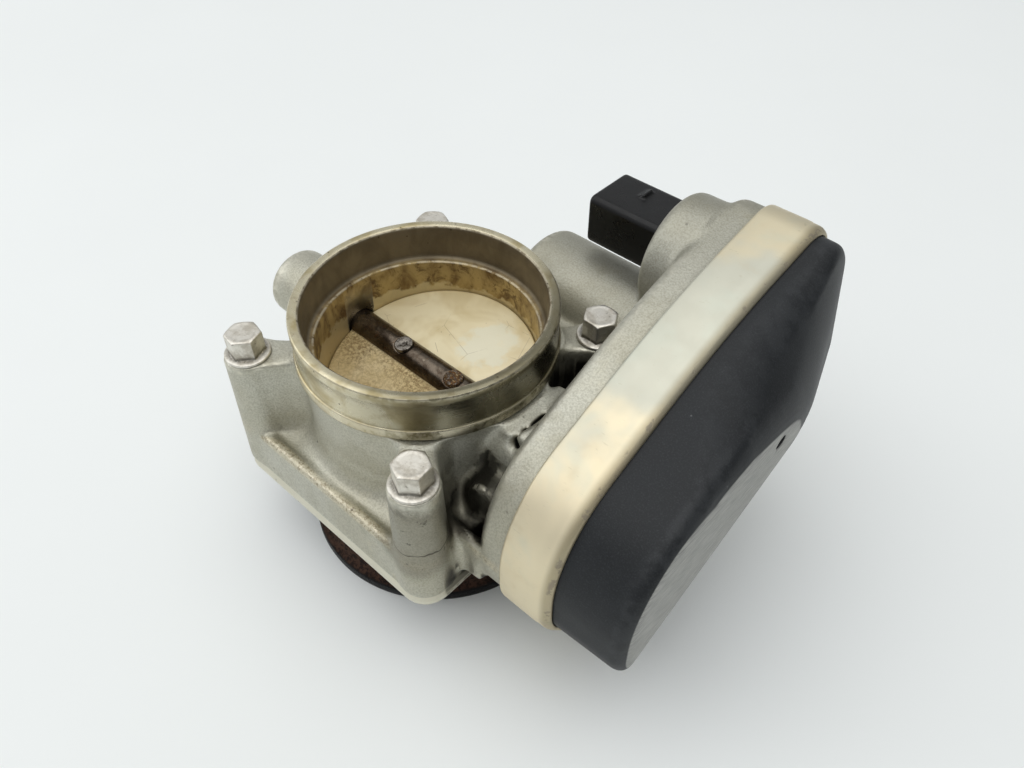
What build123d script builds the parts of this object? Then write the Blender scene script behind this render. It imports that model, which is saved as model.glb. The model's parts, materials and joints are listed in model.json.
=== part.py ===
"""Electronic throttle body: die-cast housing with a 68 mm bore, butterfly plate on a
cross shaft, two-stage spur gear drive from a DC motor, plastic gear cover held by a
pressed steel band, four flange bolts and a rubber manifold gasket.

Frame: origin on the bore axis in the flange's underside, +Z towards the air intake,
+X along the throttle shaft towards the gear cover, +Y towards the motor. Millimetres.
"""
import math
import os

from build123d import *

# ---------------------------------------------------------------- driving dimensions
BORE_R = 34.0                 # throttle bore at the plate
INTAKE_R = 36.45              # wider bore above the step
STEP_Z = 53.5
COLLAR_R = 40.0               # hose collar
COLLAR_TOP = 65.8
COLLAR_SEAT_R = 40.35         # shoulder under the hose
COLLAR_SEAT_Z = (49.8, 53.2)
BODY_R = 38.6                 # outside of the bore wall

BOLT_X = 37.0                 # half spacings of the flange bolts
BOLT_Y = 39.0
BOLT_CX = -0.8                # centre of the bolt rectangle
BOLT_CY = -0.8
BOLT_R = 3.0                  # thread of the flange bolts
BOLT_SHANK_R = 2.7
BOLT_HOLE_R = 3.3
SEAT_Z = 48.2                 # bolt seats on the posts
WASHER_R = 7.1                # M6 flange bolt: washer, cone and hexagon
WASHER_T = 0.8
CONE_H = 1.4
HEX_R = 5.77                  # corner radius of a 10 mm hexagon
HEX_TURN = 12.0
HEAD_TOP = 8.4
HEAD_CHAMFER = 0.7
POST_R = 7.5
POST_FOOT_R = 8.6
SLEEVE_R = 38.2               # outside of the manifold sleeve where it enters the body
SLEEVE_SEAT = 6.0             # depth of its seat above the flange underside
STUD_BELOW = 5.0              # bolt end below the flange
FLANGE_H = 20.5               # height of the flange's rim wall
FLANGE_WALL = 3.6
TROUGH_Z = 16.5               # floor of the trough inside the rim wall

SHAFT_Z = 36.5
SHAFT_R = 5.0
SHAFT_X = (-52.5, 75.6)
SHAFT_BOSS_X = -68.5          # blind end of the shaft boss
SHAFT_BOSS_R = 11.9
END_CAP_X = (-67.5, -64.1)
END_CAP_R = 9.5
PLATE_R = 33.9
PLATE_T = 2.5
PLATE_CLOSED = 5.0            # plate angle at the closed stop, degrees
PLATE_REST = 9.0              # plate angle at rest
SCREW_X = (-11.5, 11.0)

TRAY_X = 50.0                 # body side of the gear tray
TRAY_FLOOR = 53.5
BAND_X = (60.0, 78.0)
RIM_X = 69.0                  # parting plane of tray and cover
FACE_X = 101.0                # flat outer face of the cover
BAND_T = 1.2

SECTOR_M = 1.0                # tooth modules of the two gear stages
SECTOR_Z = 37
PINION2_Z = 20
MOTOR_M = 0.75
LARGE_Z = 74
PINION1_Z = 12
SECTOR_X = (66.5, 74.5)
PINION2_START = 65.4
LARGE_X = (76.8, 82.8)
PINION1_X = (76.0, 84.0)
TOOTH_LEAD = 86.0             # sector teeth ahead of and behind the mesh, degrees
TOOTH_TRAIL = 9.0
MESH2_ANGLE = 2.8             # direction from the throttle shaft to the idler
MESH1_ANGLE = -8.5            # direction from the idler to the motor
IDLER_Y = SECTOR_M * (SECTOR_Z + PINION2_Z) / 2 * math.cos(math.radians(MESH2_ANGLE))
IDLER_Z = SHAFT_Z + SECTOR_M * (SECTOR_Z + PINION2_Z) / 2 * math.sin(
    math.radians(MESH2_ANGLE)
)
MOTOR_Y = IDLER_Y + MOTOR_M * (LARGE_Z + PINION1_Z) / 2 * math.cos(
    math.radians(MESH1_ANGLE)
)
MOTOR_Z = IDLER_Z + MOTOR_M * (LARGE_Z + PINION1_Z) / 2 * math.sin(
    math.radians(MESH1_ANGLE)
)
CAN_R = 17.0
POT_R = 20.5
POT_X = -7.0
TRAVEL = 81.0                 # from rest to wide open
BACK_TRAVEL = 4.0             # from rest back to the closed stop

CONN_X = (9.5, 44.0)
CONN_Y = (63.5, 83.5)
CONN_Z = (57.0, 74.5)
PARTS = "parts"


# ---------------------------------------------------------------- small shape helpers
def cyl_x(r, x0, x1, y=0.0, z=SHAFT_Z):
    return Pos((x0 + x1) / 2, y, z) * Rot(0, 90, 0) * Cylinder(r, x1 - x0)


def cyl_z(r, z0, z1, x=0.0, y=0.0):
    return Pos(x, y, (z0 + z1) / 2) * Cylinder(r, z1 - z0)


def cone_z(r0, r1, z0, z1, x=0.0, y=0.0):
    return Pos(x, y, (z0 + z1) / 2) * Cone(r0, r1, z1 - z0)


def tube_x(r_out, r_in, x0, x1, y=0.0, z=SHAFT_Z):
    return cyl_x(r_out, x0, x1, y, z) - cyl_x(r_in, x0 - 1, x1 + 1, y, z)


def tube_z(r_out, r_in, z0, z1, x=0.0, y=0.0):
    return cyl_z(r_out, z0, z1, x, y) - cyl_z(r_in, z0 - 1, z1 + 1, x, y)


def block(x0, x1, y0, y1, z0, z1):
    return Pos((x0 + x1) / 2, (y0 + y1) / 2, (z0 + z1) / 2) * Box(x1 - x0, y1 - y0, z1 - z0)


def slab_x(face, x0, x1):
    """Extrude a face drawn in the YZ plane from x0 to x1."""
    return extrude(Pos(x0, 0, 0) * face, x1 - x0, dir=(1, 0, 0))


def slab_z(face, z0, z1):
    return extrude(Pos(0, 0, z0) * face, z1 - z0)


def group(shapes):
    """Separate solids that belong to one node."""
    solids = []
    for shape in shapes:
        solids.extend(shape.solids())
    return Compound(children=solids)


# ---------------------------------------------------------------- shared outlines
# corners (y, z) of the gear case outline with the radius of each rounded corner
CASE_CORNERS = (
    ((-33.2, 47.9), 38.0),
    ((35.0, 76.9), 235.0),
    ((93.0, 88.5), 14.0),
    ((93.0, 18.8), 22.0),
    ((-17.5, -11.0), 15.0),
    ((-33.2, 11.1), 20.0),
)


def case_face(inset=0.0):
    points = [(0, y, z) for (y, z), _ in CASE_CORNERS]
    radii = [r for _, r in CASE_CORNERS]
    face = Face(Wire(FilletPolyline(*points, radius=radii, close=True).edges()))
    if inset == 0.0:
        return face
    return offset(face, amount=-inset)


def bolt_points():
    return [
        (BOLT_CX + sx * BOLT_X, BOLT_CY + sy * BOLT_Y)
        for sx, sy in ((-1, -1), (1, -1), (1, 1), (-1, 1))
    ]


def flange_face(radius):
    """Rounded rectangle whose corners are concentric with the bolts."""
    return Pos(BOLT_CX, BOLT_CY) * RectangleRounded(
        2 * (BOLT_X + radius), 2 * (BOLT_Y + radius), radius
    )


# ---------------------------------------------------------------- gears
def involute_point(base_r, roll, start, side):
    """Point of an involute that leaves the base circle at the angle start."""
    r = base_r * math.hypot(1, roll)
    angle = start + side * (roll - math.atan(roll))
    return (r * math.cos(angle), r * math.sin(angle))


def tooth_flank(module, teeth, centre, side, backlash):
    """Points of one flank from root to tip, about a tooth centred on centre (radians)."""
    pitch_r = module * teeth / 2
    base_r = pitch_r * math.cos(math.radians(20))
    tip_r = pitch_r + module
    involute_at_pitch = math.tan(math.radians(20)) - math.radians(20)
    half = (math.pi * module / 2 - backlash) / 2 / pitch_r + involute_at_pitch
    roll_tip = math.sqrt((tip_r / base_r) ** 2 - 1)
    start = centre + side * half
    rolls = [roll_tip * k / 4 for k in range(5)]
    return [involute_point(base_r, roll, start, -side) for roll in rolls]


def gear_face(module, teeth, first, count, blank, backlash=0.10):
    """Gear outline in a plane: count teeth from the angle first (degrees) onwards,
    standing on the face blank."""
    step = 2 * math.pi / teeth
    root_r = module * teeth / 2 - 1.2 * module
    shape = blank
    for k in range(count):
        centre = math.radians(first) + k * step
        rising = tooth_flank(module, teeth, centre, -1, backlash)
        falling = tooth_flank(module, teeth, centre, 1, backlash)
        inner_a = (
            (root_r - 0.3) * math.cos(centre - step * 0.27),
            (root_r - 0.3) * math.sin(centre - step * 0.27),
        )
        inner_b = (
            (root_r - 0.3) * math.cos(centre + step * 0.27),
            (root_r - 0.3) * math.sin(centre + step * 0.27),
        )
        outline = [inner_a] + rising + falling[::-1] + [inner_b]
        shape += make_face(Polyline(*outline, close=True))
    return shape


def along_x(face, x0, x1, y, z):
    """Extrude a face drawn in XY so that its X is +Y, its Y is +Z and it grows along +X."""
    return Plane((x0, y, z), x_dir=(0, 1, 0), z_dir=(1, 0, 0)) * extrude(face, x1 - x0)


def gear_x(module, teeth, first, x0, x1, y, z):
    """Whole spur gear about an axis along X; first is a tooth's angle from +Y to +Z."""
    blank = Circle(module * teeth / 2 - 1.2 * module)
    return along_x(gear_face(module, teeth, first, teeth, blank), x0, x1, y, z)


def pie(radius, start, stop):
    """Sector of a disc between two angles in degrees, as a face."""
    steps = 12
    rim = [
        (radius * math.cos(math.radians(a)), radius * math.sin(math.radians(a)))
        for a in (start + (stop - start) * k / steps for k in range(steps + 1))
    ]
    return make_face(Polyline((0, 0), *rim, close=True))


# ---------------------------------------------------------------- housing casting
def core_profile():
    """Half section of the bore wall and collar, revolved about the bore axis."""
    seat_low, seat_high = COLLAR_SEAT_Z
    return [
        (SLEEVE_R, 0.0),
        (BODY_R + 1.6, 0.0),
        (BODY_R + 0.6, 20.0),
        (BODY_R, 30.0),
        (BODY_R, seat_low - 1.4),
        (COLLAR_SEAT_R - 0.3, seat_low),
        (COLLAR_SEAT_R, (seat_low + seat_high) / 2),
        (COLLAR_SEAT_R - 0.1, seat_high - 0.4),
        (COLLAR_R - 0.1, seat_high),
        (COLLAR_R, seat_high + 0.2),
        (COLLAR_R, COLLAR_TOP - 0.6),
        (COLLAR_R - 0.6, COLLAR_TOP),
        (INTAKE_R + 0.7, COLLAR_TOP),
        (INTAKE_R, COLLAR_TOP - 0.9),
        (INTAKE_R, STEP_Z + 1.2),
        (INTAKE_R - 1.2, STEP_Z),
        (BORE_R + 0.5, STEP_Z),
        (BORE_R, STEP_Z - 0.5),
        (BORE_R, SLEEVE_SEAT),
        (SLEEVE_R, SLEEVE_SEAT),
    ]


def revolved(points):
    outline = [(r, 0, z) for r, z in points]
    return revolve(make_face(Polyline(*outline, close=True)), Axis.Z)


def flange():
    lip = slab_z(flange_face(8.4), 0, 1.4)
    bevel = loft(
        [
            Pos(0, 0, 1.4) * flange_face(8.4),
            Pos(0, 0, 4.2) * flange_face(7.2),
        ]
    )
    wall = slab_z(flange_face(7.2), 4.2, FLANGE_H)
    trough = slab_z(flange_face(7.2 - FLANGE_WALL), TROUGH_Z, FLANGE_H + 1)
    body = lip + bevel + wall - trough
    for x, y in bolt_points():
        body += cone_z(POST_FOOT_R, POST_R, 4.2, SEAT_Z, x, y)
        body += web(x, y)
    return body


def web(x, y):
    """Radial web with a flat top that ties a post to the bore wall."""
    direction = math.atan2(-y, -x)
    length = math.hypot(x, y)
    outline = [
        (0, -POST_R + 0.3),
        (length - BODY_R - 3.0, -5.4),
        (length - BODY_R + 4.0, -10.5),
        (length - BODY_R + 9.0, -12.0),
        (length - BODY_R + 9.0, 12.0),
        (length - BODY_R + 4.0, 10.5),
        (length - BODY_R - 3.0, 5.4),
        (0, POST_R - 0.3),
    ]
    face = make_face(Polyline(*outline, close=True))
    placed = Pos(x, y) * Rot(0, 0, math.degrees(direction)) * face
    return slab_z(placed, 6.0, SEAT_Z)


def gear_tray():
    """Open tray of the gear case with its bosses, before the bores are cut."""
    skirt = slab_x(case_face(1.5), TRAY_X + 2.0, BAND_X[0])
    edge = slab_x(case_face(2.3), TRAY_X + 0.6, TRAY_X + 2.0)
    back = slab_x(case_face(3.7), TRAY_X, TRAY_X + 0.6)
    rim = slab_x(case_face(BAND_T), BAND_X[0], RIM_X)
    hollow = slab_x(case_face(4.6), TRAY_FLOOR, RIM_X + 1)
    return skirt + edge + back + rim - hollow


def tray_ties():
    """Cast features between the bore wall and the gear tray."""
    tunnel = cyl_x(14.0, 34.0, TRAY_FLOOR)
    pot = cyl_x(POT_R - 1.5, POT_X, POT_X + 1.5, MOTOR_Y, MOTOR_Z)
    pot += cyl_x(POT_R, POT_X + 1.5, TRAY_X + 1, MOTOR_Y, MOTOR_Z)
    pot_ring = cyl_x(POT_R, TRAY_X, 60.0, MOTOR_Y, MOTOR_Z)
    bridge = block(-4, TRAY_X + 1, 32, 48, 22, 42)
    connector_boss = cyl_x(19.0, 38.0, TRAY_X + 1, 71.5, 63.5)
    connector_boss += cyl_x(20.0, 39.2, TRAY_X + 1, 71.5, 63.5)
    floor = block(36, TRAY_X + 1, -31.5, 40, 6, 11)
    near_rib = block(37, TRAY_X + 1, -31.8, -28.4, 6, 24)
    low_rib = block(36, TRAY_X + 1, -2, 2, 8, 26)
    far_rib = block(36, TRAY_X + 1, 22, 26, 8, 30)
    crown = Pos(45.2, 2.0, 45.6) * Rot(90, 0, 0) * Cylinder(5.4, 25)
    knuckle = Pos(44.0, -16.0, 29.0) * Rot(90, 0, 0) * Cylinder(6.2, 13)
    knuckle += block(36, 50.5, -21, -11, 11, 29)
    return (
        tunnel + pot + pot_ring + bridge + connector_boss + floor
        + near_rib + low_rib + far_rib + crown + knuckle
    )


def shaft_boss():
    rim = cyl_x(SHAFT_BOSS_R - 0.7, SHAFT_BOSS_X, SHAFT_BOSS_X + 0.8)
    rib = block(-56, -36, -2, 2, 14, 30)
    return rim + cyl_x(SHAFT_BOSS_R, SHAFT_BOSS_X + 0.8, -34.0) + rib


def idler_boss():
    return cyl_x(6.5, TRAY_FLOOR - 0.5, 64.4, IDLER_Y, IDLER_Z)


def housing():
    core = revolved(core_profile())
    body = flange() + gear_tray() + tray_ties() + shaft_boss()
    body -= cyl_z(BODY_R - 2, -1, COLLAR_TOP + 1)
    body -= cyl_z(BODY_R + 8, SEAT_Z, COLLAR_TOP + 20) & block(-60, TRAY_X, -46, 44, 48, 90)
    body -= cyl_z(SLEEVE_R, -1, SLEEVE_SEAT)
    body += core + idler_boss()
    # clear space for spanner and washers over each bolt seat
    for x, y in bolt_points():
        body -= cyl_z(8.2, SEAT_Z, SEAT_Z + 14, x, y)
        body -= cyl_z(BOLT_HOLE_R, -1, SEAT_Z + 1, x, y)
    # throttle shaft line: bearing seats, seal seats, spring pocket
    body -= cyl_x(5.35, -60.0, 55.0)
    body -= cyl_x(8.0, END_CAP_X[1] - 1.0, -43.0)
    body -= cyl_x(END_CAP_R, SHAFT_BOSS_X - 1.0, END_CAP_X[1] + 0.1)
    body -= cyl_x(8.0, 35.5, 44.5)
    body -= cyl_x(11.2, 44.5, TRAY_FLOOR + 1)
    # motor pot
    body -= cyl_x(CAN_R + 0.2, POT_X + 3.0, 61.0, MOTOR_Y, MOTOR_Z)
    body -= cyl_x(6.0, POT_X + 1.5, POT_X + 4.0, MOTOR_Y, MOTOR_Z)
    for y, z in motor_screw_points():
        body -= cyl_x(1.6, 50.0, 61.0, y, z)
    # idler pin, connector passage, small bosses
    body -= cyl_x(2.5, 52.0, 65.0, IDLER_Y, IDLER_Z)
    for y, z in stop_points():
        body -= cyl_x(1.5, 51.5, 54.0, y, z)
    body -= seal_ring()
    body -= block(36.0, 56.0, CONN_Y[0] + 1.5, CONN_Y[1] - 1.5, CONN_Z[0] + 1.5, CONN_Z[1] - 1.5)
    body -= Pos(45.2, -8.0, 45.6) * Rot(90, 0, 0) * Cylinder(1.9, 8)
    return body


def motor_screw_points():
    return [
        (MOTOR_Y + 18.6 * math.cos(math.radians(a)), MOTOR_Z + 18.6 * math.sin(math.radians(a)))
        for a in (70.0, 200.0)
    ]


def stop_points():
    """Hard stops of the sector, just past its edges at each end of the travel."""
    first = MESH2_ANGLE - TOOTH_LEAD - 6.0 - BACK_TRAVEL - 6.2
    last = MESH2_ANGLE + TOOTH_TRAIL + 5.0 + TRAVEL + 6.2
    return [
        (15.5 * math.cos(math.radians(a)), SHAFT_Z + 15.5 * math.sin(math.radians(a)))
        for a in (first, last)
    ]


# ---------------------------------------------------------------- manifold side
def manifold_sleeve():
    ring = tube_z(SLEEVE_R, SLEEVE_R - 3.0, -23.0, SLEEVE_SEAT)
    return ring + tube_z(41.0, SLEEVE_R - 1.0, -9.0, 0.0)


def manifold_gasket():
    profile = [
        (SLEEVE_R, -9.0),
        (41.2, -9.0),
        (41.9, -12.0),
        (43.9, -20.6),
        (45.6, -21.4),
        (45.6, -25.2),
        (44.9, -26.0),
        (39.5, -26.0),
        (SLEEVE_R, -24.6),
    ]
    return revolved(profile)


def flange_bolts():
    bolts = []
    brim = SEAT_Z + WASHER_T
    neck = SEAT_Z + WASHER_T + CONE_H
    crown_z = SEAT_Z + HEAD_TOP - HEAD_CHAMFER
    top = SEAT_Z + HEAD_TOP
    for x, y in bolt_points():
        thread = cyl_z(BOLT_R, -STUD_BELOW + 0.4, -0.4, x, y)
        point = cone_z(BOLT_SHANK_R - 0.2, BOLT_R, -STUD_BELOW, -STUD_BELOW + 0.4, x, y)
        shank = cyl_z(BOLT_SHANK_R, -0.4, SEAT_Z + 1, x, y)
        washer = cyl_z(WASHER_R, SEAT_Z, brim, x, y)
        cone = cone_z(WASHER_R - 0.2, HEX_R, brim, neck, x, y)
        outline = Pos(x, y) * Rot(0, 0, HEX_TURN) * RegularPolygon(HEX_R, 6)
        hexagon = slab_z(outline, neck, crown_z)
        crown = slab_z(outline, crown_z, top) & cone_z(HEX_R, 4.9, crown_z, top, x, y)
        bolts.append(thread + point + shank + washer + cone + hexagon + crown)
    return group(bolts)


# ---------------------------------------------------------------- throttle valve
def at_shaft(shape, angle):
    """Put a shape drawn about the X axis onto the shaft line, turned about it."""
    return Pos(0, 0, SHAFT_Z) * Rot(angle, 0, 0) * shape


def flat_cylinder(r, v0, v1, x):
    """Cylinder along the plate's normal, drawn before the plate is tilted."""
    return Pos(x, 0, (v0 + v1) / 2) * Cylinder(r, v1 - v0)


def throttle_shaft():
    bar = Rot(0, 90, 0) * Cylinder(SHAFT_R, SHAFT_X[1] - SHAFT_X[0])
    bar = Pos((SHAFT_X[0] + SHAFT_X[1]) / 2, 0, 0) * bar
    bar -= Box(2 * PLATE_R, 4 * SHAFT_R, PLATE_T)
    for x in SCREW_X:
        bar -= flat_cylinder(3.1, 3.9, SHAFT_R + 1, x)
        bar -= flat_cylinder(1.5, -SHAFT_R - 1, 3.9, x)
    return at_shaft(bar, PLATE_REST)


def throttle_plate():
    slab = Pos(0, 0, SHAFT_Z) * Rot(PLATE_CLOSED, 0, 0) * Box(80, 80, PLATE_T)
    disc = slab & cyl_z(PLATE_R, 0, 2 * SHAFT_Z)
    turn = PLATE_REST - PLATE_CLOSED
    disc = Pos(0, 0, SHAFT_Z) * Rot(turn, 0, 0) * Pos(0, 0, -SHAFT_Z) * disc
    for x in SCREW_X:
        disc -= at_shaft(flat_cylinder(1.5, -3, 3, x), PLATE_REST)
    return disc


def plate_screws():
    screws = []
    for x in SCREW_X:
        screw = flat_cylinder(1.5, -5.6, 4.0, x) + flat_cylinder(3.0, 3.95, 5.5, x)
        screw -= Pos(x, 0, 5.3) * Rot(0, 0, 15) * extrude(RegularPolygon(1.3, 6), 1.0)
        screws.append(at_shaft(screw, PLATE_REST))
    return group(screws)


def shaft_bearing(x0, x1):
    return tube_x(8.0, SHAFT_R + 0.03, x0, x1)


def shaft_seal(x0, x1):
    return tube_x(8.0, SHAFT_R + 0.12, x0, x1)


def shaft_end_cap():
    outer, inner = END_CAP_X
    return cyl_x(END_CAP_R, outer, inner) - cyl_x(6.5, outer - 1.0, outer + 1.4)


def return_spring():
    wire_r = 0.8
    coil = Helix(pitch=2.4, height=14.4, radius=9.8)
    section = Plane(coil @ 0, z_dir=coil % 0) * Circle(wire_r)
    solid = sweep(section, path=coil)
    return Pos(45.9, 0, SHAFT_Z) * Rot(0, 90, 0) * solid


def spring_guide():
    return tube_x(8.2, SHAFT_R, 45.0, 64.0) + tube_x(11.0, SHAFT_R, 63.0, 65.3)


def sector_gear():
    step = 360 / SECTOR_Z
    behind = math.ceil(TOOTH_LEAD / step)
    ahead = math.ceil(TOOTH_TRAIL / step)
    first = MESH2_ANGLE - behind * step
    root_r = SECTOR_M * SECTOR_Z / 2 - 1.2 * SECTOR_M
    blank = pie(root_r, MESH2_ANGLE - TOOTH_LEAD - 6.0, MESH2_ANGLE + TOOTH_TRAIL + 5.0)
    blank += Circle(11.5)
    face = gear_face(SECTOR_M, SECTOR_Z, first, behind + ahead + 1, blank)
    gear = along_x(face, SECTOR_X[0], SECTOR_X[1], 0, SHAFT_Z)
    return gear - cyl_x(7.5, SECTOR_X[0] - 1, SECTOR_X[1] + 1)


def sector_hub():
    return tube_x(7.5, SHAFT_R, SECTOR_X[0] - 1.2, SHAFT_X[1])


def wiper_carrier():
    ring = tube_x(11.0, 7.8, SECTOR_X[1], 76.4)
    arm = block(SECTOR_X[1], 76.4, -15.5, -9.0, SHAFT_Z - 3.0, SHAFT_Z + 3.0)
    return ring + arm


def wiper_contacts():
    fingers = []
    for k in (-1, 1):
        leaf = block(76.4, 78.9, -14.6, -10.6, SHAFT_Z + k * 1.5 - 0.6, SHAFT_Z + k * 1.5 + 0.6)
        leaf -= block(76.9, 79.5, -13.6, -9.0, SHAFT_Z - 4, SHAFT_Z + 4)
        fingers.append(leaf)
    return group(fingers)


def position_sensor_board():
    face = pie(17.0, 165, 268) - Circle(7.0)
    board = along_x(face, 79.4, 81.0, 0, SHAFT_Z)
    for y, z in board_posts():
        board -= cyl_x(1.3, 79, 82, y, z)
    return board


def board_posts():
    return [
        (14.5 * math.cos(math.radians(a)), SHAFT_Z + 14.5 * math.sin(math.radians(a)))
        for a in (172, 258)
    ]


# ---------------------------------------------------------------- gear train
def intermediate_gear():
    large = gear_x(MOTOR_M, LARGE_Z, MESH1_ANGLE, LARGE_X[0], LARGE_X[1], IDLER_Y, IDLER_Z)
    first = MESH2_ANGLE + 180 + 180 / PINION2_Z
    small = gear_x(SECTOR_M, PINION2_Z, first, PINION2_START, LARGE_X[0], IDLER_Y, IDLER_Z)
    recess = tube_x(23.5, 12.5, LARGE_X[1] - 2.0, LARGE_X[1] + 1, IDLER_Y, IDLER_Z)
    gear = large + small - recess
    return gear - cyl_x(2.56, 60, 90, IDLER_Y, IDLER_Z)


def idler_pin():
    return cyl_x(2.5, 52.0, 87.0, IDLER_Y, IDLER_Z)


def idler_washer():
    return tube_x(5.5, 2.6, 64.45, 65.2, IDLER_Y, IDLER_Z)


def stop_pins():
    return group([cyl_x(1.5, 51.5, 72.0, y, z) for y, z in stop_points()])


# ---------------------------------------------------------------- motor
def motor_tube(r_out, r_in, x0, x1):
    return tube_x(r_out, r_in, x0, x1, MOTOR_Y, MOTOR_Z)


def motor_rod(r, x0, x1):
    return cyl_x(r, x0, x1, MOTOR_Y, MOTOR_Z)


def motor_can():
    shell = motor_tube(CAN_R, CAN_R - 1.1, -3.9, 61.2)
    rear = motor_tube(CAN_R, 2.4, -3.9, -2.8)
    cup = motor_tube(5.2, 4.0, -2.8, 1.4)
    collar = motor_tube(20.4, CAN_R - 1.1, 60.0, 61.2) & slab_x(case_face(5.4), 59, 62)
    can = shell + rear + cup + collar
    for y, z in motor_screw_points():
        can -= cyl_x(1.6, 59, 62, y, z)
    return can


def motor_magnets():
    ring = motor_tube(15.7, 13.4, 5.0, 44.0)
    gap = block(0, 50, MOTOR_Y - 3.5, MOTOR_Y + 3.5, MOTOR_Z - 20, MOTOR_Z + 20)
    return group((ring - gap).solids())


def armature():
    core = motor_rod(12.6, 7.0, 42.0)
    for k in range(5):
        angle = math.radians(72 * k + 18)
        y = MOTOR_Y + 12.2 * math.cos(angle)
        z = MOTOR_Z + 12.2 * math.sin(angle)
        core -= cyl_x(2.2, 6.0, 43.0, y, z)
    windings = motor_rod(9.6, 4.0, 45.0)
    return core + windings - motor_rod(2.0, 0, 60)


def commutator():
    return motor_tube(5.6, 2.0, 46.5, 54.5)


def motor_shaft():
    return motor_rod(2.0, -3.4, PINION1_X[1] + 0.6)


def motor_brushes():
    upper = block(48.0, 53.0, MOTOR_Y - 2.2, MOTOR_Y + 2.2, MOTOR_Z + 5.95, MOTOR_Z + 12.5)
    lower = block(48.0, 53.0, MOTOR_Y - 2.2, MOTOR_Y + 2.2, MOTOR_Z - 12.5, MOTOR_Z - 5.95)
    return group([upper, lower])


def brush_holder():
    plate = motor_rod(15.8, 55.2, 58.6)
    for sign in (-1, 1):
        z = MOTOR_Z + sign * 9.4
        box = block(47.0, 55.4, MOTOR_Y - 3.6, MOTOR_Y + 3.6, z - 2.6, z + 2.6)
        plate += box - block(47.9, 53.1, MOTOR_Y - 2.25, MOTOR_Y + 2.25, z - 4, z + 4)
    return plate - motor_rod(3.4, 50, 60)


def motor_end_cap():
    plate = motor_rod(15.8, 58.6, 62.6) + motor_rod(6.4, 62.6, 67.0)
    return plate - motor_rod(3.6, 50, 70)


def motor_pinion():
    first = MESH1_ANGLE + 180 + 180 / PINION1_Z
    gear = gear_x(MOTOR_M, PINION1_Z, first, PINION1_X[0], PINION1_X[1], MOTOR_Y, MOTOR_Z)
    gear += motor_rod(3.3, 73.0, PINION1_X[0])
    return gear - motor_rod(2.0, 70, 90)


def motor_screws():
    screws = []
    for y, z in motor_screw_points():
        screw = cyl_x(1.5, 52.0, 61.4, y, z) + cyl_x(2.5, 61.2, 63.0, y, z)
        screws.append(screw - cyl_x(1.0, 62.2, 64.0, y, z))
    return group(screws)


# ---------------------------------------------------------------- gear cover and band
def half_space(point, normal, up):
    """Large block on the side of a plane that its normal points to."""
    plane = Plane(origin=point, x_dir=up, z_dir=normal)
    return plane * Pos(0, 0, 60) * Box(300, 300, 120)


def top_chamfer(shift):
    """Twisted chamfer between the cover's top wall and its outer face."""
    sections = []
    stations = (
        (4.0, 99.8, 60.6, 58.6),
        (20.0, 91.0, 67.6, 60.6),
        (34.0, 87.2, 73.0, 59.2),
        (48.0, 87.0, 76.6, 57.0),
        (100.0, 87.0, 86.5, 48.0),
    )
    for y, x_wall, z_wall, z_face in stations:
        run = FACE_X - x_wall
        drop = z_wall - z_face
        low = (FACE_X + 8 * run / 10 - shift, z_face - 8 * drop / 10 - shift * 0.6)
        high = (x_wall - 8 * run / 10 - shift, z_wall + 8 * drop / 10 - shift * 0.6)
        outline = [(low[0], y, low[1]), (high[0], y, high[1]), (125, y, 125)]
        sections.append(make_face(Polyline(*outline, close=True)))
    return loft(sections, ruled=True)


def cover_solid(inset, x0, x1, shift):
    """Case outline raised to the flat face, with the far, top and lower facets cut."""
    solid = extrude(Pos(x0, 0, 0) * case_face(inset), x1 - x0, dir=(1, 0, 0), taper=2.0)
    far = half_space((FACE_X - shift, 48.0, 57.0), (0.943, 0.309, 0.123), (0, -0.37, 0.93))
    low = half_space((84.0, 0.0, -6.3 + shift * 0.6), (0.80, 0.24, -0.55), (0, 0.92, 0.40))
    return solid - far - low - top_chamfer(shift)


def gear_cover():
    rim = slab_x(case_face(BAND_T), RIM_X, BAND_X[1] - BAND_T)
    dome = cover_solid(2.2, RIM_X + 1, FACE_X, 0.0)
    hollow = cover_solid(4.0, RIM_X - 1, FACE_X - 2.6, 2.8)
    cover = rim + dome - hollow
    posts = cyl_x(5.0, 84.0, FACE_X - 2.0, IDLER_Y, IDLER_Z)
    for y, z in board_posts():
        posts += cyl_x(2.4, 81.0, FACE_X - 2.0, y, z) + cyl_x(1.2, 79.4, 81.5, y, z)
    cover += posts & cover_solid(3.0, RIM_X, FACE_X - 0.5, 0.5)
    cover -= cyl_x(2.6, 83, 88, IDLER_Y, IDLER_Z)
    cover -= cyl_x(2.0, FACE_X - 2.2, FACE_X + 1, 37.0, 51.5)
    return cover - seal_ring()


def seal_ring():
    ring = slab_x(case_face(2.2), RIM_X - 0.7, RIM_X + 0.7)
    return ring - slab_x(case_face(3.6), RIM_X - 2, RIM_X + 2)


def clamp_band():
    wall = slab_x(case_face(0.0), BAND_X[0], BAND_X[1] - 0.8)
    wall += slab_x(case_face(0.8), BAND_X[1] - 0.8, BAND_X[1])
    wall -= slab_x(case_face(BAND_T), BAND_X[0] - 1, BAND_X[1] - BAND_T)
    return wall - slab_x(case_face(2.2), BAND_X[1] - 2, BAND_X[1] + 1)


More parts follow.
